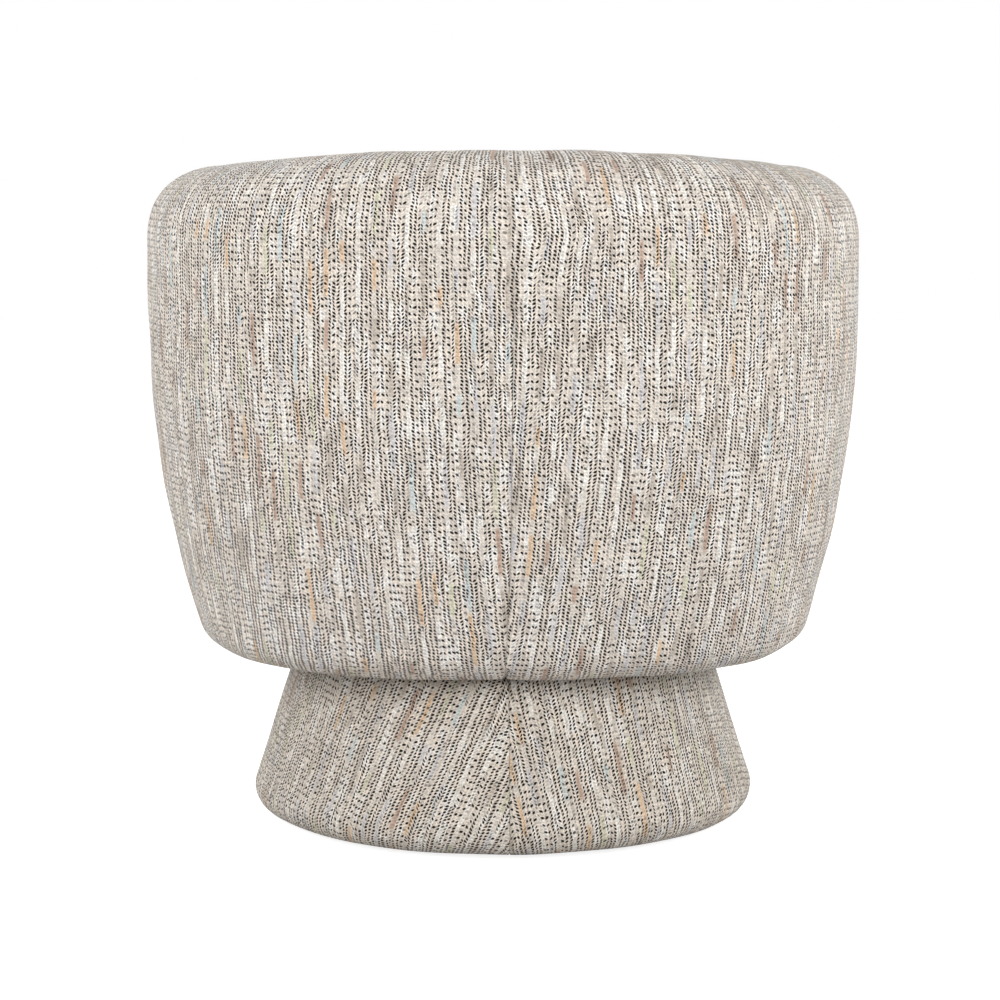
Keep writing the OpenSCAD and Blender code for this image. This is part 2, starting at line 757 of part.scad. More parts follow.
deck_ring_d = frame_in + layer_gap;
deck_ring_in = deck_ring_d + frame_w;
deck_end_d = deck_ring_in - frame_w / 4;

module deck_ring() {
    color(ply) plan_band(deck_ring_d, deck_ring_in, whole_wall, deck_z - board_t, deck_z);
}

module front_rail() {
    outer_d = ring_d + frame_w / 2;
    color(ply) plan_band(outer_d, outer_d + upright_t, front_wall, ring_top, deck_z);
}

module top_rail() {
    color(ply) plan_band(frame_e + layer_gap, frame_in, whole_wall, top_rail_z, top_rail_top);
}

// The line of the wall from the seat ring to the top of the top rail, e inside the outside
function wall_line(e) = concat([[side_d(ring_top) + e, ring_top]],
    side_line(e, ring_top, top_rail_top, side_steps));

module outer_liner() {
    color(ply) wall_layer(concat(wall_line(liner_e), reversed(wall_line(liner_e + liner_t))), whole_wall);
}

// Padding, foam and covers of the wall
module outside_padding() {
    e = pad_e + outer_pad_t;
    outer = concat(lip_line(pad_e), corner_line(pad_e),
        side_line(pad_e, side_z, top_rail_top, side_steps));
    inner = concat([[ring_d - layer_gap, lip_top]], wall_line(e));
    color(foam) wall_layer(concat(outer, reversed(inner)), whole_wall);
}

module rim_padding() {
    low = top_rail_top + layer_gap;
    section = concat([[pad_e, low], [pad_e, rim_z]], outer_roll_line(pad_e),
        inner_roll_line(pad_e, 90 - roll_turn, 0, roll_steps - 1), [[wall - pad_e, low]]);
    color(foam) wall_layer(section, whole_wall);
}

module inside_foam() {
    outer = [[frame_in + layer_gap, foam_z], [frame_in + layer_gap, top_rail_top]];
    inner = concat([[inner_d(top_rail_top) - pad_e, top_rail_top]],
        inside_line(pad_e, top_rail_top, foam_z, 2));
    color(foam) wall_layer(concat(outer, inner), whole_wall);
}

module inside_cover() {
    face = concat(inner_roll_line(0, seam_turn, 0, 2), inside_line(0, rim_z, foam_z, 3));
    back = concat(inner_roll_line(cover_t, seam_turn, 0, 2), inside_line(cover_t, rim_z, foam_z, 3));
    color(tweed) wall_layer(concat(reversed(back), face), whole_wall);
}

function cover_line(e) =
    concat(outer_line(e), outer_roll_line(e),
        inner_roll_line(e, 90 - roll_turn, seam_turn, roll_steps - 3));

module outside_cover_left() {
    color(tweed) wall_layer(concat(cover_line(0), reversed(cover_line(cover_t))), left_wall);
}

module outside_cover_right() {
    color(tweed) mirror([1, 0, 0]) outside_cover_left();
}

// Rounded fronts of the arms: above the deck the wall's outline is drawn in to its middle over
// a quarter round, and below it the wall runs on at its full depth to meet the front border
nose_d = wall / 2;
nose_back = ring_d - layer_gap;
function nose_outline(e) = concat(outer_line(e, lip_top - e), outer_roll_line(e),
    inner_roll_line(e, 90 - roll_turn, 0, roll_steps - 1), inside_line(e, rim_z, cushion_z, 3),
    [[inner_d(foam_z) - e, foam_z + e], [nose_back - e, foam_z + e], [nose_back - e, lip_top - e]]);
function nose_up(z) = min(1, max(0, (z - deck_z) / (cushion_z - deck_z)));
function nose_rows(e, reach) = [for (share = nose_shares)
    let (k = max(nose_end_share, sqrt(1 - pow(share, 2))), u = -arm_a - nose_a * share * reach)
    [for (q = nose_outline(e))
        let (drawn = 1 - (1 - k) * nose_up(q[1]), p = placed(u, [nose_d + (q[0] - nose_d) * drawn, q[1]]),
            drop = nose_d * (1 - k) * max(0, (q[1] - deck_z) / (arm_h - deck_z)))
        [p[0], p[1], p[2] - drop]]];

module arm_front_pads() {
    color(foam) mirrored() loft(nose_rows(pad_e, 1 - 2 * pad_e / wall));
}

module arm_front_covers() {
    color(tweed) mirrored() shell(nose_rows(0, 1), nose_rows(cover_t, 1 - 2 * cover_t / wall));
}

// Front border under the cushion, between the arms
border_top = deck_pad_top;
border_steps = 3;
function border_line(e) =
    concat(lip_line(e), corner_line(e), side_line(e, side_z, border_top, border_steps));

module front_border_cover() {
    e = border_recess;
    color(tweed)
        wall_layer(concat(border_line(e), reversed(border_line(e + cover_t))), front_wall);
}

module front_border_padding() {
    e = border_recess + cover_t + layer_gap;
    back_d = ring_d - layer_gap;
    front_d = ring_d + frame_w / 2 - layer_gap;
    section = concat(border_line(e), [[front_d, border_top], [front_d, ring_top + layer_gap],
        [back_d, ring_top + layer_gap], [back_d, lip_top]]);
    color(foam) wall_layer(section, front_wall);
}

// Seat
web_x_share = 0.24;
web_y_shares = [-0.5, -0.25, 0, 0.25];
web_half_count = 2;

module seat_webbing() {
    color(black_cloth) {
        for (i = [-web_half_count : web_half_count]) {
            x = i * web_x_share * (half_w - deck_end_d);
            back_y = reach_y(abs(x) + web_w / 2, deck_end_d, back_depth);
            front_y = reach_y(abs(x) + web_w / 2, ring_d + frame_w / 2 + layer_gap, front_depth);
            translate([x - web_w / 2, -front_y, deck_z]) cube([web_w, back_y + front_y, web_t]);
        }
        for (share = web_y_shares) {
            y = share * (back_depth + front_depth) / 2;
            long = reach_x(abs(y) + web_w / 2, deck_end_d);
            translate([-long, y - web_w / 2, web_over_z]) cube([2 * long, web_w, web_t]);
        }
    }
}

// The seat's plan at a height: inside the wall, drawn in round each arm's front as that is,
// and out to the front past it
seat_turn_share = 0.6;
seat_clear_a = 1.4;
seat_nose_shares = [1.6, 1.4, 1.25, 1.1, 0.95, 0.8, 0.6, 0.3];
seat_front_steps = 4;
seat_back_steps = 12;
seat_angles = concat(
    [for (i = [0 : seat_front_steps - 1])
        -90 + i * (90 - arm_a - nose_a * seat_nose_shares[0]) / seat_front_steps],
    [for (share = seat_nose_shares) -arm_a - nose_a * share],
    [for (i = [0 : seat_back_steps - 1]) -arm_a + i * (90 + arm_a) / seat_back_steps]
);
function nose_in(inside, f, z) =
    nose_d + (inside - nose_d) * (1 - nose_up(z) * (1 - max(nose_end_share, sqrt(1 - pow(f, 2)))));
function seat_d(u, inside, front, z, clear_a) =
    let (f = (-u - arm_a) / (nose_a + clear_a), turn = min(1, max(0, (f - 1) / seat_turn_share)),
        tip = nose_in(inside, 1, z))
    f <= 0 ? inside : f <= 1 ? nose_in(inside, f, z) : tip + (front - tip) * turn * turn * (3 - 2 * turn);
function seat_outline(inside, front, z, clear_a = seat_clear_a) =
    let (half = [for (u = seat_angles) plan(u, seat_d(u, inside, front, z, clear_a))],
        last = len(half) - 1, back = plan(90, inside))
    concat(half, [back], [for (i = [last : -1 : 1]) [-half[i][0], half[i][1]]]);

module seat_deck() {
    color(black_cloth) translate([0, 0, foam_z]) linear_extrude(deck_t)
        polygon(seat_outline(cushion_d, ring_d + frame_w / 2 + 2 * layer_gap, deck_z));
}

// Rings of the cushion's cover, from its bottom hem to its crown: how far each is drawn in,
// its height as a share of the edge's, and how much of the crown it has
ring_in_shares = [0.02, 0, -0.01, 0.005, 0.03, 0.09, 0.2, 0.38, 0.62, 0.88];
ring_up_shares = [0, 0.1, 0.45, 0.88, 0.97, 1, 1, 1, 1, 1];
ring_crown_shares = [0, 0, 0, 0, 0, 0.16, 0.42, 0.72, 0.92, 1];
core_in = 16;
cavity_in = 15;
core_clear_a = 4.4;
cavity_clear_a = 4;
core_h_share = 0.86;
core_h = core_h_share * cushion_edge_h;
core_top_shares = [0, 0, 0, 0, 0, 0, 0, 0.15, 0.4, 0.75];

module seat_cushion_cover() {
    last = len(ring_in_shares) - 1;
    edge = seat_outline(cushion_d, cushion_front, cushion_z);
    cavity = seat_outline(cushion_d + cavity_in, cushion_front + cavity_in, cushion_z, cavity_clear_a);
    outer = [for (k = [0 : last])
        let (z = cushion_z + cushion_edge_h * ring_up_shares[k] + cushion_crown * ring_crown_shares[k])
        [for (p = edge) [p[0] * (1 - ring_in_shares[k]), p[1] * (1 - ring_in_shares[k]), z]]];
    inner = [for (k = [0 : last])
        let (z = cushion_z + (core_h + layer_gap) * min(1, k / (last - 3)), keep = 1 - core_top_shares[k])
        [for (p = cavity) [p[0] * keep, p[1] * keep, z]]];
    color(tweed) shell(outer, inner);
}

module cushion_block(low, high) {
    translate([0, 0, cushion_z + low]) linear_extrude(high - low)
        polygon(seat_outline(cushion_d + core_in, cushion_front + core_in, cushion_z, core_clear_a));
}

module seat_cushion_core() {
    color(foam) cushion_block(cloth_t + layer_gap / 2, core_h);
}

module seat_cushion_panel() {
    color(black_cloth) cushion_block(0, cloth_t);
}

module underside_cloth() {
    cloth_in = 2 * cover_t;
    color(black_cloth) difference() {
        plan_disc(lip_d + cloth_in, ring_z - cloth_t, ring_z);
        plan_disc(ring_d + ring_w - cloth_in, ring_z - cloth_t - over, ring_z + over);
    }
}

base_cover_left();
base_cover_right();
base_padding();
base_wall();
base_top_board();
base_bottom_ring();
base_ribs();
base_bottom_cloth();
base_glides();
glide_screws();
swivel_lower_plate();
swivel_mount_bolts();
swivel_mount_nuts();
swivel_bolt();
swivel_washer();
swivel_nut();
ball_cage();
bearing_balls();
swivel_upper_plate();
rocker_bracket();
bracket_rivets();
rocker_pins();
rocker_springs();
rocker_stops();
rocker_bushes();
seat_plate();
seat_plate_bolts();
seat_plate_nuts();
seat_ring();
cross_rails();
frame_uprights();
deck_ring();
front_rail();
top_rail();
outer_liner();
outside_padding();
rim_padding();
inside_foam();
inside_cover();
outside_cover_left();
outside_cover_right();
arm_front_pads();
arm_front_covers();
front_border_padding();
front_border_cover();
seat_webbing();
seat_deck();
seat_cushion_cover();
seat_cushion_core();
seat_cushion_panel();
underside_cloth();
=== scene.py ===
import math

import bmesh
import bpy
import numpy as np
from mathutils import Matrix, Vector


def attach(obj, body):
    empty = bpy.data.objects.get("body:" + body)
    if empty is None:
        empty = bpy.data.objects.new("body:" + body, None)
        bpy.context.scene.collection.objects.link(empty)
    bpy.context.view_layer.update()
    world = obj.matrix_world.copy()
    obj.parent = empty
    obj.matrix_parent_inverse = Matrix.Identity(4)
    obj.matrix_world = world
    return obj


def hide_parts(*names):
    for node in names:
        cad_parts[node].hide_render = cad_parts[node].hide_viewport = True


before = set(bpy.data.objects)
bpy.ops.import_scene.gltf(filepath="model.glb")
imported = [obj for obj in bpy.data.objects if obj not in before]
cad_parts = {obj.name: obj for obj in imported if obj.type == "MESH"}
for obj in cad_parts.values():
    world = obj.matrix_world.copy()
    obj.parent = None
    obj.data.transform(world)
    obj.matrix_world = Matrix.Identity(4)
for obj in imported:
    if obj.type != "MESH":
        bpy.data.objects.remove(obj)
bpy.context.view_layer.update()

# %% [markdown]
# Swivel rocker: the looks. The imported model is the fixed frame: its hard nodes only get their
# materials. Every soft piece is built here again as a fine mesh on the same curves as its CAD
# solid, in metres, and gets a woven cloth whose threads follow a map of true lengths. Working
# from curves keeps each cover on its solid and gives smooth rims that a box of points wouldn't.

HALF_W, BACK, FRONT, PLAN_POWER = 0.387, 0.345, 0.354, 2.4  # the tub's plan
TUB_Z, WIDEST_Z, SIDE_R = 0.186, 0.559, 1.166  # the long curve of its side
CORNER_W, CORNER_H, LIP_R = 0.058, 0.041, 0.008  # the rounding along its bottom edge
OUTER_ROLL, INNER_ROLL, ROLL_POWER = 0.085, 0.045, 2.33  # the rolled rim
BACK_H, SIDE_H, ARM_H, RIM_RISE = 0.732, 0.714, 0.706, 0.084  # the heights of its crest
COVER_T, OUTER_PAD, LINER, GAP, FRAME_W = 0.003, 0.009, 0.003, 0.0004, 0.044  # the wall's layers
RING_Z, RING_TOP, RING_W, RING_IN = 0.208, 0.226, 0.100, 0.004
DECK_Z, DECK_T, WEB_T = 0.300, 0.015, 0.002
EDGE_H = 0.104  # the seat cushion's height along its edges
PLINTH_R, PLINTH_Z, PLINTH_TOP, PLINTH_CORNER, PLINTH_ROUND = 0.278, 0.004, 0.185, 0.025, 0.006
PLINTH_PAD, LEAN_A = 0.008, 18
LEAN = math.radians(LEAN_A)
ARM_A, NOSE_A = 30.0, 9.5  # plan angles where the arm ends, and of its rounded front

RIM_Z = SIDE_H - RIM_RISE
WALL = OUTER_ROLL + INNER_ROLL
NOSE_D = WALL / 2
FRAME_E = COVER_T + GAP + OUTER_PAD + GAP + LINER + GAP
FOAM_Z = DECK_Z + 2 * (WEB_T + GAP)
DECK_TOP = FOAM_Z + DECK_T
CUSHION_Z = DECK_TOP + GAP
print("wall", WALL, "rim", RIM_Z, "foam", round(FOAM_Z, 4), "cushion", round(CUSHION_Z, 4))

# %% [markdown]
# The tub is one round form: its plan is a superellipse, fuller than an oval, and its side one
# long arc over a rounded lower corner. A lathe can't make it, since it isn't round in plan, and
# a lofted cage would only come near. So the wall's sections are lines of a depth d, in from the
# outside, and a height z, and two functions place any point of them in the room.

# %% Plan and crest


def power(v, p):
    """The absolute value to a power, with the sign kept."""
    return np.sign(v) * np.abs(v) ** p


def joined(a, b):
    """Two arrays as the two columns of one."""
    return np.stack([a, b], -1)


def plan(u, d):
    """X and Y of the plan at an angle in degrees and a depth in from the outside."""
    a = np.radians(u)
    reach = np.where(np.sin(a) < -1e-9, FRONT, BACK)
    wx, wy = power(np.cos(a), 2 / PLAN_POWER), power(np.sin(a), 2 / PLAN_POWER)
    return joined((HALF_W - d) * wx, (reach - d) * wy)


def crest(u):
    """Height of the roll's crest: a squared sine higher at the back, and falling to the arms."""
    s = np.sin(np.radians(u))
    fall = (SIDE_H - ARM_H) * np.minimum(1, -s / math.sin(math.radians(ARM_A + NOSE_A)))
    return np.where(s > 0, SIDE_H + (BACK_H - SIDE_H) * s * s, SIDE_H - fall)


def placed(u, d, z):
    """Points of the wall: heights over the rim's level are stretched to the crest at that angle."""
    up = np.where(z <= RIM_Z, z, RIM_Z + (z - RIM_Z) * (crest(u) - RIM_Z) / (SIDE_H - RIM_Z))
    return np.concatenate([plan(u, d), up[..., None]], -1)


print("plan's right, back and front", plan(np.array([0.0, 90.0, -90.0]), 0.0).round(3).tolist())

# %% [markdown]
# In section the wall has a lip and a rounded corner below, the side's long arc, and the roll at
# the rim. Each is a formula in the solid's own sizes, so nothing has to be fitted by eye.

# %% Wall sections


def side_d(z):
    """Depth of the side's long arc at a height: zero over the widest height, a circle below it."""
    low = np.maximum(0, WIDEST_Z - np.asarray(z, float))
    return SIDE_R - np.sqrt(SIDE_R ** 2 - low ** 2)


INSIDE_LEAN = 0.03


def inner_d(z):
    """Depth of the wall's inside face, which leans in a little going down."""
    return WALL + INSIDE_LEAN * (RIM_Z - z)


CORNER_Z = TUB_Z + CORNER_H
corner_lean = (WIDEST_Z - CORNER_Z) / math.sqrt(SIDE_R ** 2 - (WIDEST_Z - CORNER_Z) ** 2)
CORNER_TURN = math.atan(CORNER_W / (CORNER_H * corner_lean))
SIDE_Z = TUB_Z + CORNER_H * (1 - math.cos(CORNER_TURN))
LIP_D = float(side_d(SIDE_Z)) + CORNER_W * math.sin(CORNER_TURN)
LIP_Z = CORNER_Z - CORNER_H * math.cos(math.asin(LIP_R / CORNER_W)) + LIP_R
LIP_TOP = RING_Z - GAP
RING_D = float(side_d(RING_TOP)) + FRAME_E + RING_IN


def lower_line(e, top):
    """Section from the lip, round the lower corner and up the side to a height, e inside."""
    q = np.radians(np.linspace(90, 0, 30))
    lip = joined(LIP_D - LIP_R + (LIP_R - e) * np.sin(q), LIP_Z - (LIP_R - e) * np.cos(q))
    q = np.linspace(math.asin(LIP_R / (CORNER_W - e)), CORNER_TURN, 80)
    corner = joined(LIP_D - (CORNER_W - e) * np.sin(q), CORNER_Z - (CORNER_H - e) * np.cos(q))
    z = np.linspace(SIDE_Z, top, 200)[1:]
    side = joined(side_d(z) + e, z)
    return np.concatenate([[[LIP_D - e, LIP_TOP]], lip, corner, side])


def roll_line(width, start, end, count=120):
    """Section of the roll outside (negative width) or inside the crest, between two turns."""
    q = np.radians(np.linspace(start, end, count))
    c, s = power(np.cos(q), 2 / ROLL_POWER), power(np.sin(q), 2 / ROLL_POWER)
    return joined(OUTER_ROLL + width * c, RIM_Z + RIM_RISE * s)


print("lip depth", round(LIP_D, 4), "lip height", round(LIP_Z, 4), "side from", round(SIDE_Z, 4))

# %% [markdown]
# Upholstery is cloth pulled over a form and sewn at its edges. Each panel here is a grid of
# points, made into quads all at once: rows follow a section and columns go round. Its edges are
# turned in over a small quarter round and carried on into the wall, as sewn cloth is at a seam.
# A bevel would round them too, but would stretch the map there, and the threads with it.

# %% Rows and seams


def running(line):
    """Length along a line up to each of its points."""
    return np.concatenate([[0], np.cumsum(np.linalg.norm(np.diff(line, axis=0), axis=1))])


def resample(line, places):
    """Points of a line at lengths along it."""
    run = running(line)
    return np.stack([np.interp(places, run, line[:, k]) for k in range(line.shape[1])], -1)


def line_length(line):
    """Sum of a line's steps."""
    return float(np.linalg.norm(np.diff(line, axis=0), axis=1).sum())


EDGE = np.array([0, 0.0003, 0.0008, 0.0014, 0.0021, 0.0032, 0.005, 0.008])  # places by a seam


def stations(length, step, first=True, last=True):
    """Places along a length: even steps between finer ones next to the edges that turn in."""
    a = EDGE if first else np.array([0.0])
    b = length - (EDGE[::-1] if last else np.array([0.0]))
    count = max(2, round((b[0] - a[-1]) / step))
    return np.concatenate([a, np.linspace(a[-1], b[0], count + 1)[1:-1], b])


def normals(p):
    """Unit normal of a grid from the cross product of its two differences."""
    n = np.cross(np.gradient(p, axis=1), np.gradient(p, axis=0))
    return n / np.maximum(1e-12, np.linalg.norm(n, axis=-1, keepdims=True))


def lengths(p, axis):
    """Running length of a grid along one axis, starting at zero."""
    step = np.linalg.norm(np.diff(p, axis=axis), axis=-1)
    pad = [(1, 0), (0, 0)] if axis == 0 else [(0, 0), (1, 0)]
    return np.cumsum(np.pad(step, pad), axis=axis)


def turned_in(p, sides, radius=0.002, tuck=0.004, sign=1.0):
    """A grid with its named sides rounded in by a quarter circle and carried on into the seam."""
    n = normals(p) * sign
    out = p.copy()
    drop = np.zeros(p.shape[:2])
    for side in sides:
        axis = 0 if side in ("low", "high") else 1
        t = lengths(p, axis)
        if side in ("high", "right"):
            t = (t[-1:] if axis == 0 else t[:, -1:]) - t
        short = np.clip(radius - t, 0, radius)
        drop = np.maximum(drop, radius - np.sqrt(radius ** 2 - short ** 2))
    out -= n * drop[..., None]
    for side in sides:
        axis = 0 if side in ("low", "high") else 1
        edge = 0 if side in ("low", "left") else -1
        line, way = (out[edge], n[edge]) if axis == 0 else (out[:, edge], n[:, edge])
        extra = (line - way * tuck)[None] if axis == 0 else (line - way * tuck)[:, None]
        n_extra = way[None] if axis == 0 else way[:, None]
        pair = (extra, out) if edge == 0 else (out, extra)
        n_pair = (n_extra, n) if edge == 0 else (n, n_extra)
        out, n = np.concatenate(pair, axis), np.concatenate(n_pair, axis)
    return out


print("rows beside a seam:", len(EDGE), "within", EDGE[-1], "m")

# %% Maps and meshes

WELD = 0.00002  # points nearer than this are one


def edged(a, sides):
    """A map's grid with its border repeated on the sides that turn in."""
    pad = [("low" in sides, "high" in sides), ("left" in sides, "right" in sides), (0, 0)]
    return np.pad(a, [(int(x), int(y)) for x, y in pad], mode="edge")


def quads(rows, cols, closed=False):
    """Corner numbers of a grid's quads."""
    i, j = np.meshgrid(np.arange(rows - 1), np.arange(cols if closed else cols - 1), indexing="ij")
    k = (j + 1) % cols
    low, high = i * cols, (i + 1) * cols
    return np.stack([low + j, low + k, high + k, high + j], -1).reshape(-1, 4)


def corner_map(uv, closed=False):
    """Map values at each quad's corners."""
    flat = uv.reshape(-1, 2)
    return flat[quads(uv.shape[0], uv.shape[1], closed)]


def read(items, key, width=1):
    """One value, or row of values, of each vertex, face or corner, as an array."""
    out = np.zeros(len(items) * width)
    items.foreach_get(key, out)
    return out.reshape(-1, width) if width > 1 else out


def mesh_piece(name, points, faces, maps, flip=False, weld=False):
    """A smooth object from points, quads and the map at their corners."""
    if flip:
        faces, maps = faces[:, ::-1], maps[:, ::-1]
    mesh = bpy.data.meshes.new(name)
    mesh.from_pydata(points.reshape(-1, 3).tolist(), [], faces.tolist())
    maps = np.ascontiguousarray(maps, float).ravel()
    mesh.uv_layers.new(name="weave").data.foreach_set("uv", maps)
    mesh.polygons.foreach_set("use_smooth", np.ones(len(mesh.polygons), bool))
    if weld:
        work = bmesh.new()
        work.from_mesh(mesh)
        bmesh.ops.remove_doubles(work, verts=work.verts, dist=WELD)
        work.to_mesh(mesh)
        work.free()
    mesh.update()
    obj = bpy.data.objects.new(name, mesh)
    bpy.context.scene.collection.objects.link(obj)
    return obj


def ripple(a, b, seed, size=0.0006):
    """Slow waves over a cloth, a sum of sines with fixed phases, in metres."""
    rng = np.random.default_rng(seed)
    out = np.zeros(np.broadcast(a, b).shape)
    for _ in range(7):
        way, wave = rng.uniform(0, math.pi), rng.uniform(0.08, 0.24)
        turns = 2 * math.pi * (a * math.cos(way) + b * math.sin(way)) / wave
        out += np.sin(turns + rng.uniform(0, 6.3))
    return out * size / 2.6


print("points weld within", WELD, "m")

# %% [markdown]
# A finish is a node graph. Made by hand each would be dozens of boxes and wires, so a small
# class writes them from short calls: each call adds one node and returns what comes out of it.

# %% Material helpers


def srgb(*c):
    """Linear colour from sRGB numbers of 0 to 255."""
    c = np.array(c, float) / 255
    return tuple(np.where(c <= 0.04045, c / 12.92, ((c + 0.055) / 1.055) ** 2.4)) + (1.0,)


class Graph:
    """Builds a material's node graph from short calls."""

    def __init__(self, name, rough=0.9):
        self.mat = bpy.data.materials.new(name)
        self.mat.use_nodes = True
        self.tree = self.mat.node_tree
        self.shader = self.tree.nodes["Principled BSDF"]
        self.shader.inputs["Roughness"].default_value = rough

    def put(self, socket, value):
        if isinstance(value, bpy.types.NodeSocket):
            self.tree.links.new(value, socket)
        else:
            socket.default_value = value

    def add(self, kind, *values):
        """A node with values or wires put on its first inputs."""
        node = self.tree.nodes.new("ShaderNode" + kind)
        for socket, value in zip(node.inputs, values):
            self.put(socket, value)
        return node

    def math(self, op, a, b=0.0, c=0.0):
        node = self.add("Math", a, b, c)
        node.operation = op
        return node.outputs[0]

    def times(self, a, b):
        return self.math("MULTIPLY", a, b)

    def over(self, a, b):
        return self.math("DIVIDE", a, b)

    def plus(self, a, b):
        return self.math("ADD", a, b)

    def minus(self, a, b):
        return self.math("SUBTRACT", a, b)

    def line(self, a, slope, start):
        """A value times a slope, plus a start."""
        return self.math("MULTIPLY_ADD", a, slope, start)

    def size(self, a):
        return self.math("ABSOLUTE", a)

    def floor(self, a):
        return self.math("FLOOR", a)

    def above(self, a, limit):
        """1 where a value is over a limit, else 0."""
        return self.math("GREATER_THAN", a, limit)

    def step(self, value, low, high, to_low=0.0, to_high=1.0):
        node = self.add("MapRange", value, low, high, to_low, to_high)
        node.interpolation_type = "SMOOTHSTEP"
        return node.outputs[0]

    def vector(self, x, y=0.0, z=0.0):
        return self.add("CombineXYZ", x, y, z).outputs[0]

    def split(self, vector):
        return self.add("SeparateXYZ", vector).outputs

    def noise(self, vector, scale=1.0, detail=2.0, rough=0.5):
        node = self.add("TexNoise", vector)
        for key, v in (("Scale", scale), ("Detail", detail), ("Roughness", rough)):
            node.inputs[key].default_value = v
        return node.outputs["Fac"]

    def random(self, vector):
        return self.split(self.add("TexWhiteNoise", vector).outputs["Color"])

    def ramp(self, value, stops, kind="LINEAR"):
        node = self.add("ValToRGB", value)
        node.color_ramp.interpolation = kind
        items = node.color_ramp.elements
        while len(items) < len(stops):
            items.new(0.5)
        for item, (at, colour) in zip(items, stops):
            item.position, item.color = at, colour
        return node.outputs[0]

    def mix(self, amount, a, b, kind="MIX"):
        node = self.add("Mix")
        node.data_type, node.blend_type = "RGBA", kind
        for socket, v in ((node.inputs[0], amount), (node.inputs[6], a), (node.inputs[7], b)):
            self.put(socket, v)
        return node.outputs[2]

    def bump(self, height, strength, distance):
        node = self.add("Bump")
        node.inputs["Strength"].default_value = strength
        node.inputs["Distance"].default_value = distance
        self.put(node.inputs["Height"], height)
        self.put(self.shader.inputs["Normal"], node.outputs[0])

    def coords(self, uv=None):
        if uv:
            node = self.add("UVMap")
            node.uv_map = uv
            return node.outputs[0]
        return self.add("TexCoord").outputs["Object"]


print("white", srgb(255, 255, 255))

# %% [markdown]
# The cloth is a slub tweed. Its warp runs up the chair in groups of three dark yarns and a thick
# pale one, with a weft row every few millimetres, and each dark yarn shows as a short slanting
# tick where it passes over a row. A picture of cloth would repeat and blur, and modelled yarns
# would be millions of faces. So the shader works the pattern out in millimetres from the piece's
# own map, and the yarns keep their size on every piece.

# %% Yarn patterns

REPEAT, ROW = 16.7, 3.67  # width of a group of yarns and height of a weft row, in mm
YARNS = (2.0, 6.6, 11.1, 15.1)  # middles of a group's dark yarns, of which the last is faint
BORDERS = (4.3, 8.85, 13.3)  # where one dark yarn's share of the width ends
STRETCH_ROWS = 11.0  # rows in which a yarn's ticks are alike
LEANS_BACK, ALTERNATES = 0.8, 0.68  # a stretch does so over this chance
TICK_SLANT, TICK_WIDE, TICK_PLAY = 1.2, 0.98, 0.9  # slant, half width and sideways play in mm
TICK_TALL = 0.41  # half height in rows


def ticks(g, dx, yarn, mm_y, seed):
    """Slanted ovals, one to a row of a dark yarn, in some stretches strong on every other row."""
    shift = g.random(g.vector(yarn, seed + 0.5, 3.5))
    turns = g.line(shift[0], 0.5, g.over(mm_y, ROW))
    row = g.floor(turns)
    t = g.minus(g.minus(turns, row), 0.5)
    chance = g.random(g.vector(yarn, row, seed + 7.5))
    span = g.floor(g.line(shift[1], 5.0, g.over(row, STRETCH_ROWS)))
    mode = g.random(g.vector(yarn, span, seed + 9.5))
    turned = g.line(g.above(mode[0], LEANS_BACK), -2.0, 1.0)
    lean = g.times(turned, g.line(chance[1], 1.0, TICK_SLANT))
    other = g.above(g.math("FLOORED_MODULO", row, 2.0), 0.5)
    paired = g.above(mode[1], ALTERNATES)
    weak = g.times(other, paired)
    strong = g.minus(paired, weak)
    offset = g.line(lean, t, g.line(chance[2], TICK_PLAY, -TICK_PLAY / 2))
    wide = g.line(strong, 0.2, g.line(chance[0], 0.42, TICK_WIDE))
    across = g.over(g.minus(dx, offset), wide)
    middle = g.line(chance[1], 0.16, g.minus(t, 0.08))
    along = g.over(middle, g.line(strong, 0.02, TICK_TALL))
    round_ = g.plus(g.times(across, across), g.times(along, along))
    rough = g.noise(g.vector(dx, mm_y, g.times(yarn, 7.3)), 0.9, 2, 0.6)
    oval = g.step(g.line(rough, 1.8, g.minus(round_, 0.9)), 1.45, 0.6)
    back = g.over(g.minus(0.5, g.size(t)), 0.26)
    beside = g.over(g.plus(dx, 1.3), 0.8)
    small = g.plus(g.times(back, back), g.times(beside, beside))
    small = g.times(g.step(small, 1.5, 0.4), g.times(chance[0], 0.6))
    tick = g.times(oval, g.line(weak, -0.75, 1.0))
    return g.math("MAXIMUM", tick, small), t, chance


def stretch(g, yarn, mm_y, seed, long):
    """Where a yarn is dyed: a soft-ended stretch in each length, and a chance for its colour."""
    at = g.random(g.vector(yarn, seed + 5.5, 1.5))
    run = g.plus(g.over(mm_y, long), at[0])
    number = g.floor(run)
    pick = g.random(g.vector(yarn, number, seed + 6.5))
    off = g.size(g.minus(g.minus(run, number), 0.5))
    half = g.line(pick[1], 0.34, 0.12)
    return g.step(g.minus(off, half), 0.07, -0.03), pick[0]


print("tweed: groups of yarns", REPEAT, "mm wide, rows", ROW, "mm high")

# %% Pale yarns

SLUB = 14.9  # middle of the thick pale yarn in its group, in mm
SLUB_LONG, FINE_LONG = 62.0, 38.0  # length in which a pale yarn changes its dye once, in mm
# Each colour's tint of the cloth, and how far painted shade darkens it where a tweed takes a share.
TINT_AND_SHADE = ((1.0, 0.13), (0.993, 0.14), (0.982, 0.16))  # red, green, blue: tint and painted shade
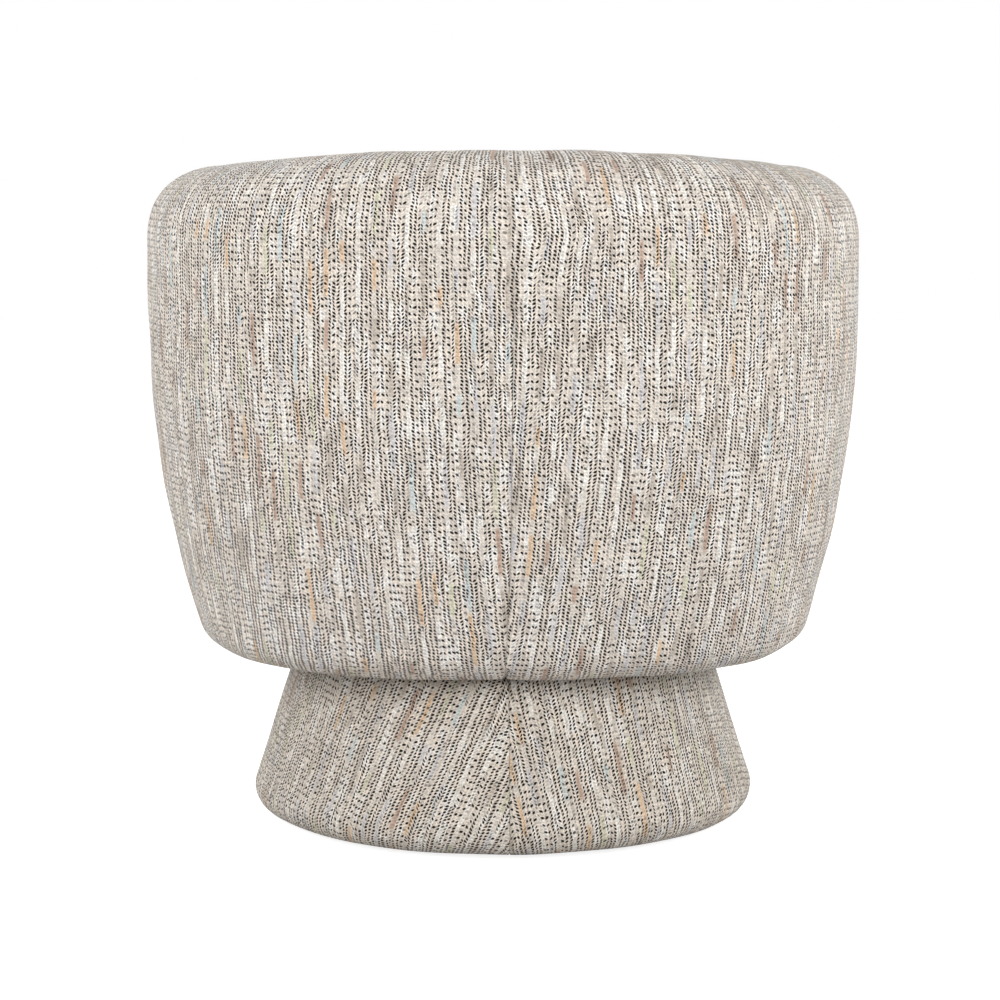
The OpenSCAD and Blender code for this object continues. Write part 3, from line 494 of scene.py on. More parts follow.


def pale_yarns(g, f, cell, yarn, mm_y, seed):
    """Colour of the ground: fine pale yarns, and over them the thick one, dyed in stretches."""
    slub = g.step(g.size(g.minus(f, SLUB)), 3.4, 1.8)
    streak, tint = stretch(g, cell, mm_y, seed, SLUB_LONG)
    tint = g.ramp(tint, [
        (0.0, srgb(255, 251, 246)), (0.36, srgb(228, 225, 226)), (0.52, srgb(238, 210, 180)),
        (0.61, srgb(206, 180, 163)), (0.71, srgb(232, 229, 206)), (0.79, srgb(212, 201, 189)),
        (0.92, srgb(220, 228, 228)),
    ], "CONSTANT")
    slub_colour = g.mix(streak, srgb(240, 232, 223), tint)
    streak, tint = stretch(g, g.plus(yarn, 40.5), mm_y, seed, FINE_LONG)
    tint = g.ramp(tint, [
        (0.0, srgb(226, 217, 208)), (0.3, srgb(253, 249, 245)), (0.6, srgb(238, 229, 219)),
    ], "CONSTANT")
    return g.mix(slub, g.mix(streak, srgb(245, 235, 224), tint), slub_colour), slub


def fibre_shade(g, fibre, mm_x, mm_y, cell, seed):
    """Ground lightness: fibres, dark specks, painted shade between rows, and each row's own."""
    weft = g.random(g.vector(cell, g.floor(g.over(mm_y, ROW)), seed + 2.5))
    shade = g.step(fibre, 0.32, 0.68, 0.80, 1.12)
    speck = g.noise(g.vector(g.times(mm_x, 0.52), g.times(mm_y, 0.4), seed + 8), 1, 1, 0.7)
    shade = g.times(shade, g.step(speck, 0.56, 0.68, 1.0, 0.72))
    # painted shade: the ground darkens where one weft row meets the next, as in a groove
    between = g.step(g.size(g.minus(g.math("FLOORED_MODULO", mm_y, ROW), ROW / 2)), 1.1, 1.75)
    shade = g.times(shade, g.line(g.times(between, weft[0]), -0.28, 1.0))
    return g.times(shade, g.line(weft[1], 0.07, 0.97))


# %% Tweed


def tweed(name, seed, painted_shade=0.0):
    """Pale slub tweed with broken dark stripes, darker and warmer by a share of painted shade."""
    g = Graph(name, 0.92)
    x, y, _ = g.split(g.coords("weave"))
    mm_x, mm_y = g.times(x, 1000.0), g.times(y, 1000.0)
    slow = g.noise(g.vector(g.times(x, 26.0), g.times(y, 22.0), seed), 1, 1)
    quick = g.noise(g.vector(g.times(x, 160.0), g.times(y, 75.0), seed), 1, 0)
    part = g.over(g.line(quick, 2.6, g.line(slow, 2.4, mm_x)), REPEAT)
    cell = g.floor(part)
    f = g.times(g.minus(part, cell), REPEAT)
    past = [g.above(f, border) for border in BORDERS]
    centre, yarn = YARNS[0], g.times(cell, float(len(YARNS)))
    for over_border, gap in zip(past, np.diff(YARNS)):
        centre, yarn = g.line(over_border, float(gap), centre), g.plus(yarn, over_border)
    tick, t, chance = ticks(g, g.minus(f, centre), yarn, mm_y, seed)

    fade = g.noise(g.vector(g.times(yarn, 3.7), g.times(y, 24.0), seed), 1, 2)
    fade = g.line(past[0], 0.16, g.line(chance[2], 0.2, fade))
    fade = g.line(past[2], -0.3, fade)
    dark = g.times(tick, g.step(fade, 0.38, 0.6, 0.22, 1.0))

    pale, slub = pale_yarns(g, f, cell, yarn, mm_y, seed)
    fibre = g.noise(g.vector(mm_x, g.times(mm_y, 0.85), seed), 0.62, 2, 0.8)
    shade = fibre_shade(g, fibre, mm_x, mm_y, cell, seed)
    # painted shade: the share darkens and warms the ground, for the tub's shadow on the plinth
    tones = [g.times(shade, tone * (1 - fall * painted_shade)) for tone, fall in TINT_AND_SHADE]
    pale = g.mix(1.0, pale, g.vector(*tones), "MULTIPLY")
    dark_colour = g.mix(chance[1], srgb(14, 12, 9), srgb(42, 35, 28))
    g.put(g.shader.inputs["Base Color"], g.mix(dark, pale, dark_colour))
    bulge = g.line(g.size(t), -0.7, 0.35)
    high = g.plus(g.line(slub, 0.45, bulge), g.times(fibre, 0.55))
    g.bump(g.line(dark, -0.25, high), 0.6, 0.001)
    sheen = {"Sheen Weight": 0.06, "Sheen Roughness": 0.6, "Specular IOR Level": 0.2}
    for key, value in sheen.items():
        g.shader.inputs[key].default_value = value
    return g.mat


TWEED_BACK = tweed("tweed_back", 1.0)
TWEED_INSIDE = tweed("tweed_inside", 11.0)
TWEED_ARM = tweed("tweed_arm", 21.0)
# The plinth's two cloths take the full share of painted shade, for the tub's shadow on them.
TWEED_BASE_LEFT = tweed("tweed_base_left", 31.0, 1.0)
TWEED_BASE_RIGHT = tweed("tweed_base_right", 41.0, 1.0)
TWEED_CUSHION = tweed("tweed_cushion", 51.0)
print("tweeds", len([m for m in bpy.data.materials if m.name.startswith("tweed_")]))

# %% [markdown]
# The frame is plywood and the mechanism steel, with bright zinc fasteners, nylon glides and
# rubber stops. Under the seat are a thin black bottom cloth and elastic webbing. Plain colours
# would look like plastic, so each has its grain: the hard ones from the object's own
# coordinates, which stay with the piece when it moves, and the cloths from the piece's map.

# %% Hard materials

PLY_T = 0.003  # thickness of one ply


def plywood():
    """Birch plywood: long grain, growth lines and fine pores."""
    g = Graph("plywood", 0.62)
    x, y, z = g.split(g.coords())
    grain = g.noise(g.vector(g.times(x, 9.0), g.times(y, 90.0), g.times(z, 60.0)), 1, 4, 0.6)
    ply = g.math("FLOORED_MODULO", g.over(z, PLY_T), 1.0)
    line = g.step(g.size(g.minus(ply, 0.5)), 0.36, 0.5, 0.0, 0.35)
    wood = g.ramp(grain, [
        (0.3, srgb(178, 140, 95)), (0.5, srgb(205, 170, 122)), (0.7, srgb(222, 192, 148)),
    ])
    g.put(g.shader.inputs["Base Color"], g.mix(line, wood, srgb(150, 112, 74)))
    g.bump(grain, 0.25, 0.0006)
    return g.mat


def metal(name, low, high, rough, stretch):
    """Metal with streaks drawn out along one axis, and soft patches."""
    g = Graph(name, rough)
    x, y, z = g.split(g.coords())
    streak = g.noise(g.vector(g.times(x, stretch), g.times(y, 900.0), g.times(z, 900.0)), 1, 3)
    patch = g.noise(g.coords(), 38.0, 3)
    mixed = g.line(streak, 0.5, g.times(patch, 0.5))
    g.put(g.shader.inputs["Base Color"], g.ramp(mixed, [(0.35, low), (0.65, high)]))
    g.put(g.shader.inputs["Roughness"], g.step(mixed, 0.3, 0.7, rough - 0.1, rough + 0.12))
    g.shader.inputs["Metallic"].default_value = 0.9
    g.bump(streak, 0.15, 0.0002)
    return g.mat


def moulded(name, low, high, rough):
    """Moulded nylon or rubber with a fine grain."""
    g = Graph(name, rough)
    spots = g.noise(g.coords(), 420.0, 3)
    g.put(g.shader.inputs["Base Color"], g.ramp(spots, [(0.3, low), (0.7, high)]))
    g.bump(spots, 0.2, 0.0003)
    return g.mat


print("plies", PLY_T, "m thick")

# %% Black cloths


def black_cloth(name, pitch, low, high):
    """Plain woven cloth: over and under at a pitch in metres, from the piece's map."""
    g = Graph(name, 0.88)
    x, y, _ = g.split(g.coords("weave"))
    a = g.math("SINE", g.times(x, math.pi / pitch))
    b = g.math("SINE", g.times(y, math.pi / pitch))
    weave = g.line(g.times(a, b), 0.5, 0.5)
    fuzz = g.noise(g.coords(), 260.0, 3)
    mixed = g.line(fuzz, 0.5, g.times(weave, 0.5))
    g.put(g.shader.inputs["Base Color"], g.ramp(mixed, [(0.25, low), (0.75, high)]))
    g.bump(mixed, 0.5, 0.0005)
    return g.mat


PLY = plywood()
STEEL = metal("mechanism_steel", srgb(92, 94, 97), srgb(138, 140, 143), 0.42, 40.0)
ZINC = metal("zinc_fasteners", srgb(150, 152, 154), srgb(196, 197, 196), 0.34, 300.0)
NYLON = moulded("nylon", srgb(34, 34, 36), srgb(56, 56, 58), 0.5)
RUBBER = moulded("rubber", srgb(20, 20, 20), srgb(36, 36, 36), 0.78)
BOTTOM_CLOTH = black_cloth("bottom_cloth", 0.0011, srgb(18, 18, 19), srgb(44, 44, 46))
WEBBING = black_cloth("webbing", 0.0022, srgb(24, 24, 26), srgb(66, 62, 58))
DECK_CLOTH = black_cloth("deck_cloth", 0.0008, srgb(30, 29, 28), srgb(52, 50, 48))

print("materials", len(bpy.data.materials))

# %% [markdown]
# The hard nodes keep the imported shapes, which are real already, and only get their finishes.
# New soft pieces are finished the same way each time: a material, the body that carries the
# piece and the nodes that it stands for.

# %% Dressed nodes

NODE_MATERIALS = {
    "base_wall": PLY, "base_top_board": PLY, "base_bottom_ring": PLY, "base_ribs": PLY,
    "seat_ring": PLY, "cross_rails": PLY, "frame_uprights": PLY, "deck_ring": PLY,
    "front_rail": PLY, "top_rail": PLY, "outer_liner": PLY,
    "swivel_lower_plate": STEEL, "swivel_upper_plate": STEEL, "rocker_bracket": STEEL,
    "rocker_springs": STEEL, "seat_plate": STEEL, "rocker_pins": STEEL, "bearing_balls": ZINC,
    "glide_screws": ZINC, "swivel_mount_bolts": ZINC, "swivel_mount_nuts": ZINC,
    "swivel_bolt": ZINC, "swivel_washer": ZINC, "swivel_nut": ZINC, "bracket_rivets": ZINC,
    "seat_plate_bolts": ZINC, "seat_plate_nuts": ZINC,
    "base_glides": NYLON, "ball_cage": NYLON, "rocker_bushes": NYLON, "rocker_stops": RUBBER,
}
for node_name, node_material in NODE_MATERIALS.items():
    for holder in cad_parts[node_name].material_slots:
        holder.link, holder.material = "OBJECT", node_material
print("dressed nodes", len(NODE_MATERIALS))


def finish_piece(obj, material, body, replaces):
    """Gives a piece its material, the body it rides on and the nodes it stands for."""
    obj.data.materials.append(material)
    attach(obj, body)
    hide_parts(*replaces)
    print(obj.name, len(obj.data.polygons), "faces")
    return obj


# %% [markdown]
# The outside cover is one cloth round the back, rolled over the rim, with a dart down the
# middle: a wedge taken out so that flat cloth fits a form that narrows going down. The dart
# starts 0.65 m up and wanders a little to the bottom edge. A texture laid on straight would hide
# it. So the cloth dips into a crease below the dart's tip, and the map measures real length from
# the dart and adds the width that it takes in, which makes the threads meet at an angle.

# %% Rows and columns of the outside

DART_Z, DART_S = [0.20, 0.325, 0.65], [-0.002, -0.0075, -0.011]  # heights, and places across
DART_TIP, DART_FADE = 0.652, 0.05
CUT_LEFT, CUT_RIGHT = 0.34, 0.52  # width taken in on each side, by the depth the side draws in
DART_STEPS = [0, 0.0005, 0.001, 0.0016, 0.0023, 0.0032,
              0.0045, 0.0065, 0.009, 0.0125, 0.017, 0.0225]
HALF_ROUND = 0.8  # half the length round the tub's outside, in which the columns are laid out


def around(count=3001):
    """Plan angles from the left arm's front to the right's, closest at the middle of the back."""
    tau = np.linspace(1, -1, count)
    return 90 - (90 + ARM_A) * power(tau, 1.2)


def tub_grid():
    """Points of the outside, with their places across and up, and the number of the dart's column.

    Each row is shared out by its own length either side of the middle, and moved to the dart.
    """
    line = np.concatenate([
        lower_line(0, RIM_Z), roll_line(-OUTER_ROLL, 0, 90)[1:], roll_line(INNER_ROLL, 90, 30)[1:],
    ])
    section = resample(line, stations(line_length(line), 0.0065))
    d, z = section[:, 0], section[:, 1]
    rim = int(np.argmax(z > RIM_Z))
    u_all = around()
    half = np.concatenate([DART_STEPS, stations(HALF_ROUND, 0.0072, False)[4:]])
    half = np.unique(np.round(half[half <= HALF_ROUND], 6))
    share = np.concatenate([half[::-1], -half[1:]]) / HALF_ROUND
    dart = len(half) - 1
    s = np.zeros((len(section), len(share)))
    u = np.zeros_like(s)
    for i in range(len(section)):
        if i > rim:
            s[i], u[i] = s[rim], u[rim]
            continue
        p = plan(u_all, d[i])
        run = running(p)
        run = run[len(run) // 2] - run
        shift = np.interp(z[i], DART_Z, DART_S) * (1 - np.abs(share)) ** 3
        s[i] = share * run[0] + shift
        u[i] = np.interp(-s[i], -run, u_all)
    points = placed(u, d[:, None], z[:, None])
    return points, s, z, dart


print("the dart is", DART_TIP, "m up and takes in", CUT_LEFT, "and", CUT_RIGHT, "of the draw")

# %% Outside cover

CREASE, CREASE_W, DIP, DIP_W = 0.0034, 0.0014, 0.0007, 0.012  # depths and widths along the dart
TIP_DIP, TIP_W, TIP_H = 0.0012, 0.009, 0.010  # the small dimple at its tip
PUCKER, PUCKER_S, PUCKER_Z, PUCKER_H = 0.0065, -0.042, 0.655, 0.028  # threads pushed over there
WANDER, MAP_Z, MIDDLE_Z, SIDE_ROW = 0.0012, 0.4, 0.45, 40  # row 40 lies well up the side


def tub_cover():
    """The outside cover with its dart, as one object.

    The crease is an exponential of the distance from the dart, and the map adds to each half
    the depth that the side draws in, times that half's share.
    """
    p, s, z, dart = tub_grid()
    n = normals(p)
    n *= np.sign((n[SIDE_ROW, dart] * (p[SIDE_ROW, dart] - [0, 0, MIDDLE_Z])).sum())
    v = lengths(p, 0)
    v -= v[np.argmax(z > MAP_Z)]
    t = s - s[:, dart:dart + 1]
    depth = np.clip((DART_TIP - z) / DART_FADE, 0, 1)[:, None]
    depth = depth * depth * (3 - 2 * depth) * (z < RIM_Z)[:, None]
    crease = CREASE * np.exp(-np.abs(t) / CREASE_W) + DIP * np.exp(-(t / DIP_W) ** 2)
    tip = TIP_DIP * np.exp(-(t / TIP_W) ** 2 - ((p[..., 2] - DART_TIP) / TIP_H) ** 2)
    p = p - n * (depth * crease + tip + ripple(s, v, 3))[..., None]
    cut = side_d(np.minimum(z, RIM_Z))[:, None]
    wide, high = np.where(s < PUCKER_S, 0.07, 0.03), (p[..., 2] - PUCKER_Z) / PUCKER_H
    bulge = PUCKER * np.exp(-((s - PUCKER_S) / wide) ** 2 - high ** 2)
    wander = WANDER * np.sin(s * 31) * np.sin(v * 17 + 1)
    left = joined(s + CUT_LEFT * cut + bulge + wander, v)
    right = joined(s - CUT_RIGHT * cut + bulge + wander, v)
    sides = ("low", "high", "left", "right")
    p = turned_in(p, sides, sign=np.sign((normals(p) * n).sum(-1)[SIDE_ROW, dart]))
    left, right = edged(left, sides), edged(right, sides)
    faces = quads(*p.shape[:2])
    maps_left, maps_right = corner_map(left), corner_map(right)
    on_left = (np.arange(len(faces)) % (p.shape[1] - 1)) < dart + 1
    maps = np.where(on_left[:, None, None], maps_left, maps_right)
    return mesh_piece("tub_outside_cover", p, faces, maps, flip=True)


finish_piece(tub_cover(), TWEED_BACK, "seat",
             ["outside_cover_left", "outside_cover_right", "outside_padding", "rim_padding"])

# %% [markdown]
# The inside cover is one panel from arm to arm. It runs from the seam on the inside of the roll
# down the foam and behind the cushion. It could be the outside cover's other face, but it is a
# cloth of its own with its own threads, so it is its own grid on the wall's inside line.

# %% Inside cover


def wall_panel(line, u_from, u_to, step_rows, step_cols, sides):
    """Grid and map of a panel between two plan angles, with even lengths both ways."""
    rows = stations(line_length(line), step_rows, "low" in sides, "high" in sides)
    section = resample(line, rows)
    u_all = np.linspace(u_from, u_to, 2001)
    base = plan(u_all, section[0, 0])
    run = running(base)
    u = np.interp(stations(run[-1], step_cols), run, u_all)
    uu, dd = np.meshgrid(u, section[:, 0])
    p = placed(uu, dd, section[:, 1:])
    x = lengths(p, 1)
    x = x - x[:, -1:] / 2
    return p, joined(x, lengths(p, 0))


def inside_cover():
    """The inside back and arms in one panel."""
    z = np.linspace(RIM_Z, FOAM_Z, 120)[1:]
    line = np.concatenate([roll_line(INNER_ROLL, 30, 0), joined(inner_d(z), z)])
    sides = ("low", "high", "left", "right")
    p, uv = wall_panel(line, 180 + ARM_A, -ARM_A, 0.008, 0.009, sides)
    n = normals(p)
    p = p - n * ripple(uv[..., 0], uv[..., 1], 5, 0.0009)[..., None]
    p, uv = turned_in(p, sides, sign=1.0), edged(uv * [1, -1], sides)
    return mesh_piece("tub_inside_cover", p, quads(*p.shape[:2]), corner_map(uv))


finish_piece(inside_cover(), TWEED_INSIDE, "seat", ["inside_cover", "inside_foam"])

# %% [markdown]
# Each arm ends in a rounded front, drawn in from the wall's full depth to its middle line over
# a quarter round. Its cloth is one piece pulled over that round end. A map measured along the
# grid would squeeze the threads where the rows crowd together at the middle line, so the piece
# is unrolled by its angles, as a cloth pattern is, and turned so that the threads stand upright.

# %% Shape of an arm's front

NOSE_LONG = 0.09  # its length along the tub's side


def nose(side):
    """One arm front: side 1 is the sitter's left and -1 the right."""
    z_side = np.linspace(RIM_Z, CUSHION_Z, 48)[1:]
    low = lower_line(0, CUSHION_Z)
    low = resample(low, np.linspace(0, line_length(low), 34))[:-1]
    up = joined(side_d(z_side[::-1]), z_side[::-1])
    outer, inner = roll_line(-OUTER_ROLL, 0, 90, 26), roll_line(INNER_ROLL, 90, 0, 26)[1:]
    down = joined(inner_d(z_side), z_side)
    foot_z = np.linspace(CUSHION_Z, FOAM_Z, 8)[1:]
    foot = joined(inner_d(foot_z), foot_z)
    line = np.concatenate([low, up, outer, inner, down, foot])
    turn = np.radians(np.concatenate([EDGE[:-1] / NOSE_LONG * 57.3, np.linspace(5, 90, 24)]))
    share, k = np.sin(turn)[None], np.cos(turn)[None]
    d, z = line[:, :1], line[:, 1:]
    rise = np.clip((z - DECK_Z) / (CUSHION_Z - DECK_Z), 0, 1)
    drawn = NOSE_D + (d - NOSE_D) * (1 - (1 - k) * rise)
    u = -ARM_A - NOSE_A * share
    p = placed(np.broadcast_to(u, drawn.shape), drawn, z)
    p[..., 2] -= NOSE_D * (1 - k) * np.maximum(0, (z - DECK_Z) / (ARM_H - DECK_Z))
    return turned_in(p, ("left",)) * [side, 1, 1]


print("an arm's front turns in over", NOSE_A, "degrees of the plan")

# %% Arm fronts


def unrolled(obj):
    """Flattens a piece's map by its angles, to its true area, and turns it so height runs up it.

    The area of a flat quad is half the cross product of its diagonals, and the way up is the
    slope of the plane that fits height over the map best.
    """
    bpy.context.view_layer.objects.active = obj
    obj.select_set(True)
    bpy.ops.object.mode_set(mode="EDIT")
    bpy.ops.mesh.select_all(action="SELECT")
    bpy.ops.uv.unwrap(method="ANGLE_BASED", margin=0.0)
    bpy.ops.object.mode_set(mode="OBJECT")
    obj.select_set(False)
    mesh, layer = obj.data, obj.data.uv_layers["weave"].data
    uv = read(layer, "uv", 2)
    first = read(mesh.polygons, "loop_start").astype(int)[read(mesh.polygons, "loop_total") == 4]
    a, b = uv[first + 2] - uv[first], uv[first + 3] - uv[first + 1]
    flat = np.abs(a[:, 0] * b[:, 1] - a[:, 1] * b[:, 0]).sum() / 2
    true = read(mesh.polygons, "area").sum()
    z = read(mesh.vertices, "co", 3)[read(mesh.loops, "vertex_index").astype(int), 2]
    rise = np.linalg.lstsq(np.c_[uv, np.ones(len(uv))], z, rcond=None)[0]
    up = rise[:2] / np.linalg.norm(rise[:2])
    turned = joined(uv @ [up[1], -up[0]], uv @ up) * math.sqrt(true / flat)
    turned[:, 0] -= turned[:, 0].mean()
    layer.foreach_set("uv", turned.ravel())
    print(obj.name, "map scale", round(math.sqrt(true / flat), 3))
    return obj


def arm_front(side, name):
    """An arm front as an object, welded along its middle line, its map unrolled."""
    p = nose(side)
    seen = corner_map(p[..., [0, 2]])
    return unrolled(mesh_piece(name, p, quads(*p.shape[:2]), seen, flip=side < 0, weld=True))


finish_piece(arm_front(1, "arm_front_left"), TWEED_ARM, "seat",
             ["arm_front_covers", "arm_front_pads"])
finish_piece(arm_front(-1, "arm_front_right"), TWEED_ARM, "seat",
             ["arm_front_covers"])

# %% [markdown]
# The border under the cushion closes the tub's front between the arms, a padded board on the
# real chair. It is the wall's lower section again, carried round the front instead of the back,
# so it can't drift from the arms. It is set back 2 mm and its ends go in behind their cloth.

# %% Front border


def front_border():
    """The border, set back 2 mm from the tub's line and turned in over the deck."""
    line = lower_line(0.002, DECK_TOP)
    sides = ("high", "left", "right")
    p, uv = wall_panel(line, -ARM_A - NOSE_A, NOSE_A + ARM_A - 180, 0.007, 0.009, sides)
    p = p + normals(p) * ripple(uv[..., 0], uv[..., 1], 9, 0.0006)[..., None]
    p, uv = turned_in(p, sides, tuck=0.006, sign=-1.0), edged(uv * [-1, 1], sides)
    return mesh_piece("front_border", p, quads(*p.shape[:2]), corner_map(uv), flip=True)


finish_piece(front_border(), TWEED_ARM, "seat",
             ["front_border_cover", "front_border_padding"])

# %% [markdown]
# The seat cushion is boxed: a top and a bottom panel with a boxing strip between two seams, over
# a soft core. Its rings of points follow the seat's outline, which the arms' fronts notch. A
# rounded block would look hard, and sculpting it by hand wouldn't repeat, so a cloth simulation
# swells it: air pressure inside, with the bottom held flat and the seams held more than the rest.

# %% Cushion outline

SIDE_ROOM = 0.004  # room between the inside cover and what lies on the seat


def nose_in(inside, f):
    """Depth of the seat's outline beside an arm's front, drawn in as the front is."""
    return NOSE_D + (inside - NOSE_D) * np.maximum(0.12, np.sqrt(1 - np.clip(f, 0, 1) ** 2))


def seat_outline(inside, front, clear_a, count, soften):
    """Even points round the seat, from the middle of the front, with its corners softened."""
    u = np.concatenate([np.linspace(-90, -50, 300), np.linspace(-50, -28, 900)[1:],
                        np.linspace(-28, 90, 900)[1:]])
    f = (-u - ARM_A) / (NOSE_A + clear_a)
    turn = np.clip((f - 1) / 0.6, 0, 1)
    tip = nose_in(inside, 1.0)
    d = np.where(f <= 1, nose_in(inside, f), tip + (front - tip) * turn * turn * (3 - 2 * turn))
    half = plan(u, np.where(f <= 0, inside, d))
    loop = np.concatenate([half, (half * [-1, 1])[-2:0:-1], half[:1]])
    loop = resample(loop, np.linspace(0, line_length(loop), count, endpoint=False))
    for _ in range(soften):
        loop = (np.roll(loop, 1, 0) + 2 * loop + np.roll(loop, -1, 0)) / 4
    return loop


print("room beside the cushion", SIDE_ROOM, "m")

# %% Rings


def ringed(loop, rings, name):
    """A closed form from rings: share drawn in, height, and whether it is boxing."""
    level = np.ones(len(loop))
    points = np.stack([np.column_stack([loop * (1 - a), level * h]) for a, h, _ in rings])
    run = running(np.concatenate([loop, loop[:1]]))
    faces = quads(len(rings), len(loop), True)
    maps = corner_map(points[..., :2], True)
    count = len(loop)
    for i in range(len(rings) - 1):
        if rings[i][2] and rings[i + 1][2]:
            a, b = rings[i][1], rings[i + 1][1]
            x0, x1 = run[:-1], run[1:]
            low, high = np.full(count, a), np.full(count, b)
            corners = ((x0, low), (x1, low), (x1, high), (x0, high))
            maps[i * count:(i + 1) * count] = np.stack([np.stack(pair, -1) for pair in corners], 1)
    return mesh_piece(name, points, faces, maps, weld=True)


print("seat", round(CUSHION_Z + EDGE_H, 3), "m up at its edges")

# %% Swelling


def inflate(obj, weights, pressure, cap, frames=20):
    """Swells a closed cloth, held at its weighted points, no further than the cap anywhere."""
    start = read(obj.data.vertices, "co", 3)
    pin = obj.vertex_groups.new(name="held")
    for level in np.unique(weights):
        pin.add(np.flatnonzero(weights == level).tolist(), float(level), "REPLACE")
    cloth = obj.modifiers.new("cloth", "CLOTH")
    s = cloth.settings
    s.quality, s.mass, s.vertex_group_mass = 7, 0.3, "held"
    s.tension_stiffness = s.compression_stiffness = 22
    s.bending_stiffness = 1.2
    s.use_pressure, s.uniform_pressure_force = True, pressure
    s.effector_weights.gravity = 0
    cloth.collision_settings.use_collision = False
    scene = bpy.context.scene
    for f in range(1, frames + 1):
        scene.frame_set(f)
    done = obj.evaluated_get(bpy.context.evaluated_depsgraph_get()).data
    end = read(done.vertices, "co", 3)
    obj.modifiers.remove(cloth)
    scene.frame_set(1)
    move = end - start
    far = np.linalg.norm(move, axis=1, keepdims=True)
    print(obj.name, "swelled by up to", round(float(far.max()) * 1000, 1), "mm")
    kept = move * np.minimum(1, cap / np.maximum(far, 1e-9))
    obj.data.vertices.foreach_set("co", (start + kept).ravel())
    obj.data.update()


def subdivided(obj, levels):
    """Replaces a mesh with its subdivided one."""
    mod = obj.modifiers.new("smooth", "SUBSURF")
    mod.levels = mod.render_levels = levels
    done = obj.evaluated_get(bpy.context.evaluated_depsgraph_get())
    mesh = bpy.data.meshes.new_from_object(done)
    obj.modifiers.clear()
    obj.data = mesh


print("quick look, not swelled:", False)

# %% Seat cushion

BOTTOM_RINGS = (1.0, 0.9, 0.72, 0.5, 0.3, 0.14, 0.05)  # shares of the way in to the middle
BOXING = ((0.0, 0.11), (-0.006, 0.3), (-0.008, 0.5), (-0.006, 0.7), (0.0, 0.88))  # and up the side
TOP_RINGS = (0.045, 0.08, 0.13, 0.2, 0.28, 0.38, 0.48, 0.58, 0.68, 0.78, 0.87, 0.94, 1.0)
SEAM_IN, PRESSURE, MOST_SWELL = 0.0022, 4.0, 0.024


def cushion():
    """The boxed seat cushion with its seams pulled in. Its top starts as a low crown."""
    inside = float(inner_d(CUSHION_Z)) + SIDE_ROOM
    loop = seat_outline(inside + SIDE_ROOM, 0.012, 1.4, 176, 3)
    low, high = CUSHION_Z + 0.001, CUSHION_Z + EDGE_H - 0.006
    rings = [(a, low, 0) for a in BOTTOM_RINGS]
    rings += [(0.013, low + 0.002, 0), (0.012, low + 0.006, 1)]
    rings += [(a, low + (high - low) * b, 1) for a, b in BOXING]
    rings += [(0.008, high, 1), (0.02, high + 0.003, 0)]
    rings += [(a, high + 0.004 + 0.012 * (1 - (1 - a) ** 2.4), 0) for a in TOP_RINGS]
    obj = ringed(loop, rings, "seat_cushion")
    z = read(obj.data.vertices, "co", 3)[:, 2]
    top_seam, bottom = np.abs(z - high) < 1e-5, z < low + 0.0065
    inflate(obj, np.where(bottom, 1.0, np.where(top_seam, 0.75, 0.0)), PRESSURE, MOST_SWELL)
    co, way_out = read(obj.data.vertices, "co", 3), read(obj.data.vertices, "normal", 3)
    co[top_seam] -= way_out[top_seam] * SEAM_IN
    co[:, 2] = np.maximum(co[:, 2], CUSHION_Z + 0.0005)
    obj.data.vertices.foreach_set("co", co.ravel())
    subdivided(obj, 2)
    return obj


finish_piece(cushion(), TWEED_CUSHION, "seat",
             ["seat_cushion_cover", "seat_cushion_core", "seat_cushion_panel"])

# %% [markdown]
# Under the cushion lie the deck's pad, the webbing that carries it and, at the very bottom, the
# black cloth that closes the tub. The straps could be one crossed sheet, but real ones are
# ribbons in two layers, so each is a section carried along its own length. The bottom cloth is
# one thin surface that takes its outline from the tub's plan, inside the lip.

# %% Deck

DECK_EDGE = 0.004  # rounding of the deck pad's edge


def deck():
    """The padded black deck that the cushion lies on."""
    inside = float(inner_d(CUSHION_Z)) + SIDE_ROOM
    loop = seat_outline(inside, RING_D + FRAME_W / 2 + 0.0008, 0.0, 150, 2)
    rings = [(a, FOAM_Z, 0) for a in (1.0, 0.6, 0.2, 0.03)]
    rings += [(0.012, FOAM_Z + DECK_EDGE / 4, 0), (0.004, FOAM_Z + DECK_EDGE, 1)]
    rings += [(0.0, FOAM_Z + DECK_T / 2, 1)]
    rings += [(0.004, DECK_TOP - DECK_EDGE, 1), (0.012, DECK_TOP - DECK_EDGE / 4, 0)]
    rings += [(a, DECK_TOP, 0) for a in (0.03, 0.2, 0.6, 1.0)]
    return ringed(loop, rings, "seat_deck_pad")


finish_piece(deck(), DECK_CLOTH, "seat", ["seat_deck"])

# %% Webbing

STRAP_W, STRAP_T, STRAP_ROOM, STRAP_SAG = 0.050, 0.002, 0.025, 0.0002


def chord(at, across, along):
    """Half length of a strap, from the plan's superellipse at the place where the strap runs."""
    return along * (1 - ((abs(at) + STRAP_ROOM) / across) ** PLAN_POWER) ** (1 / PLAN_POWER)


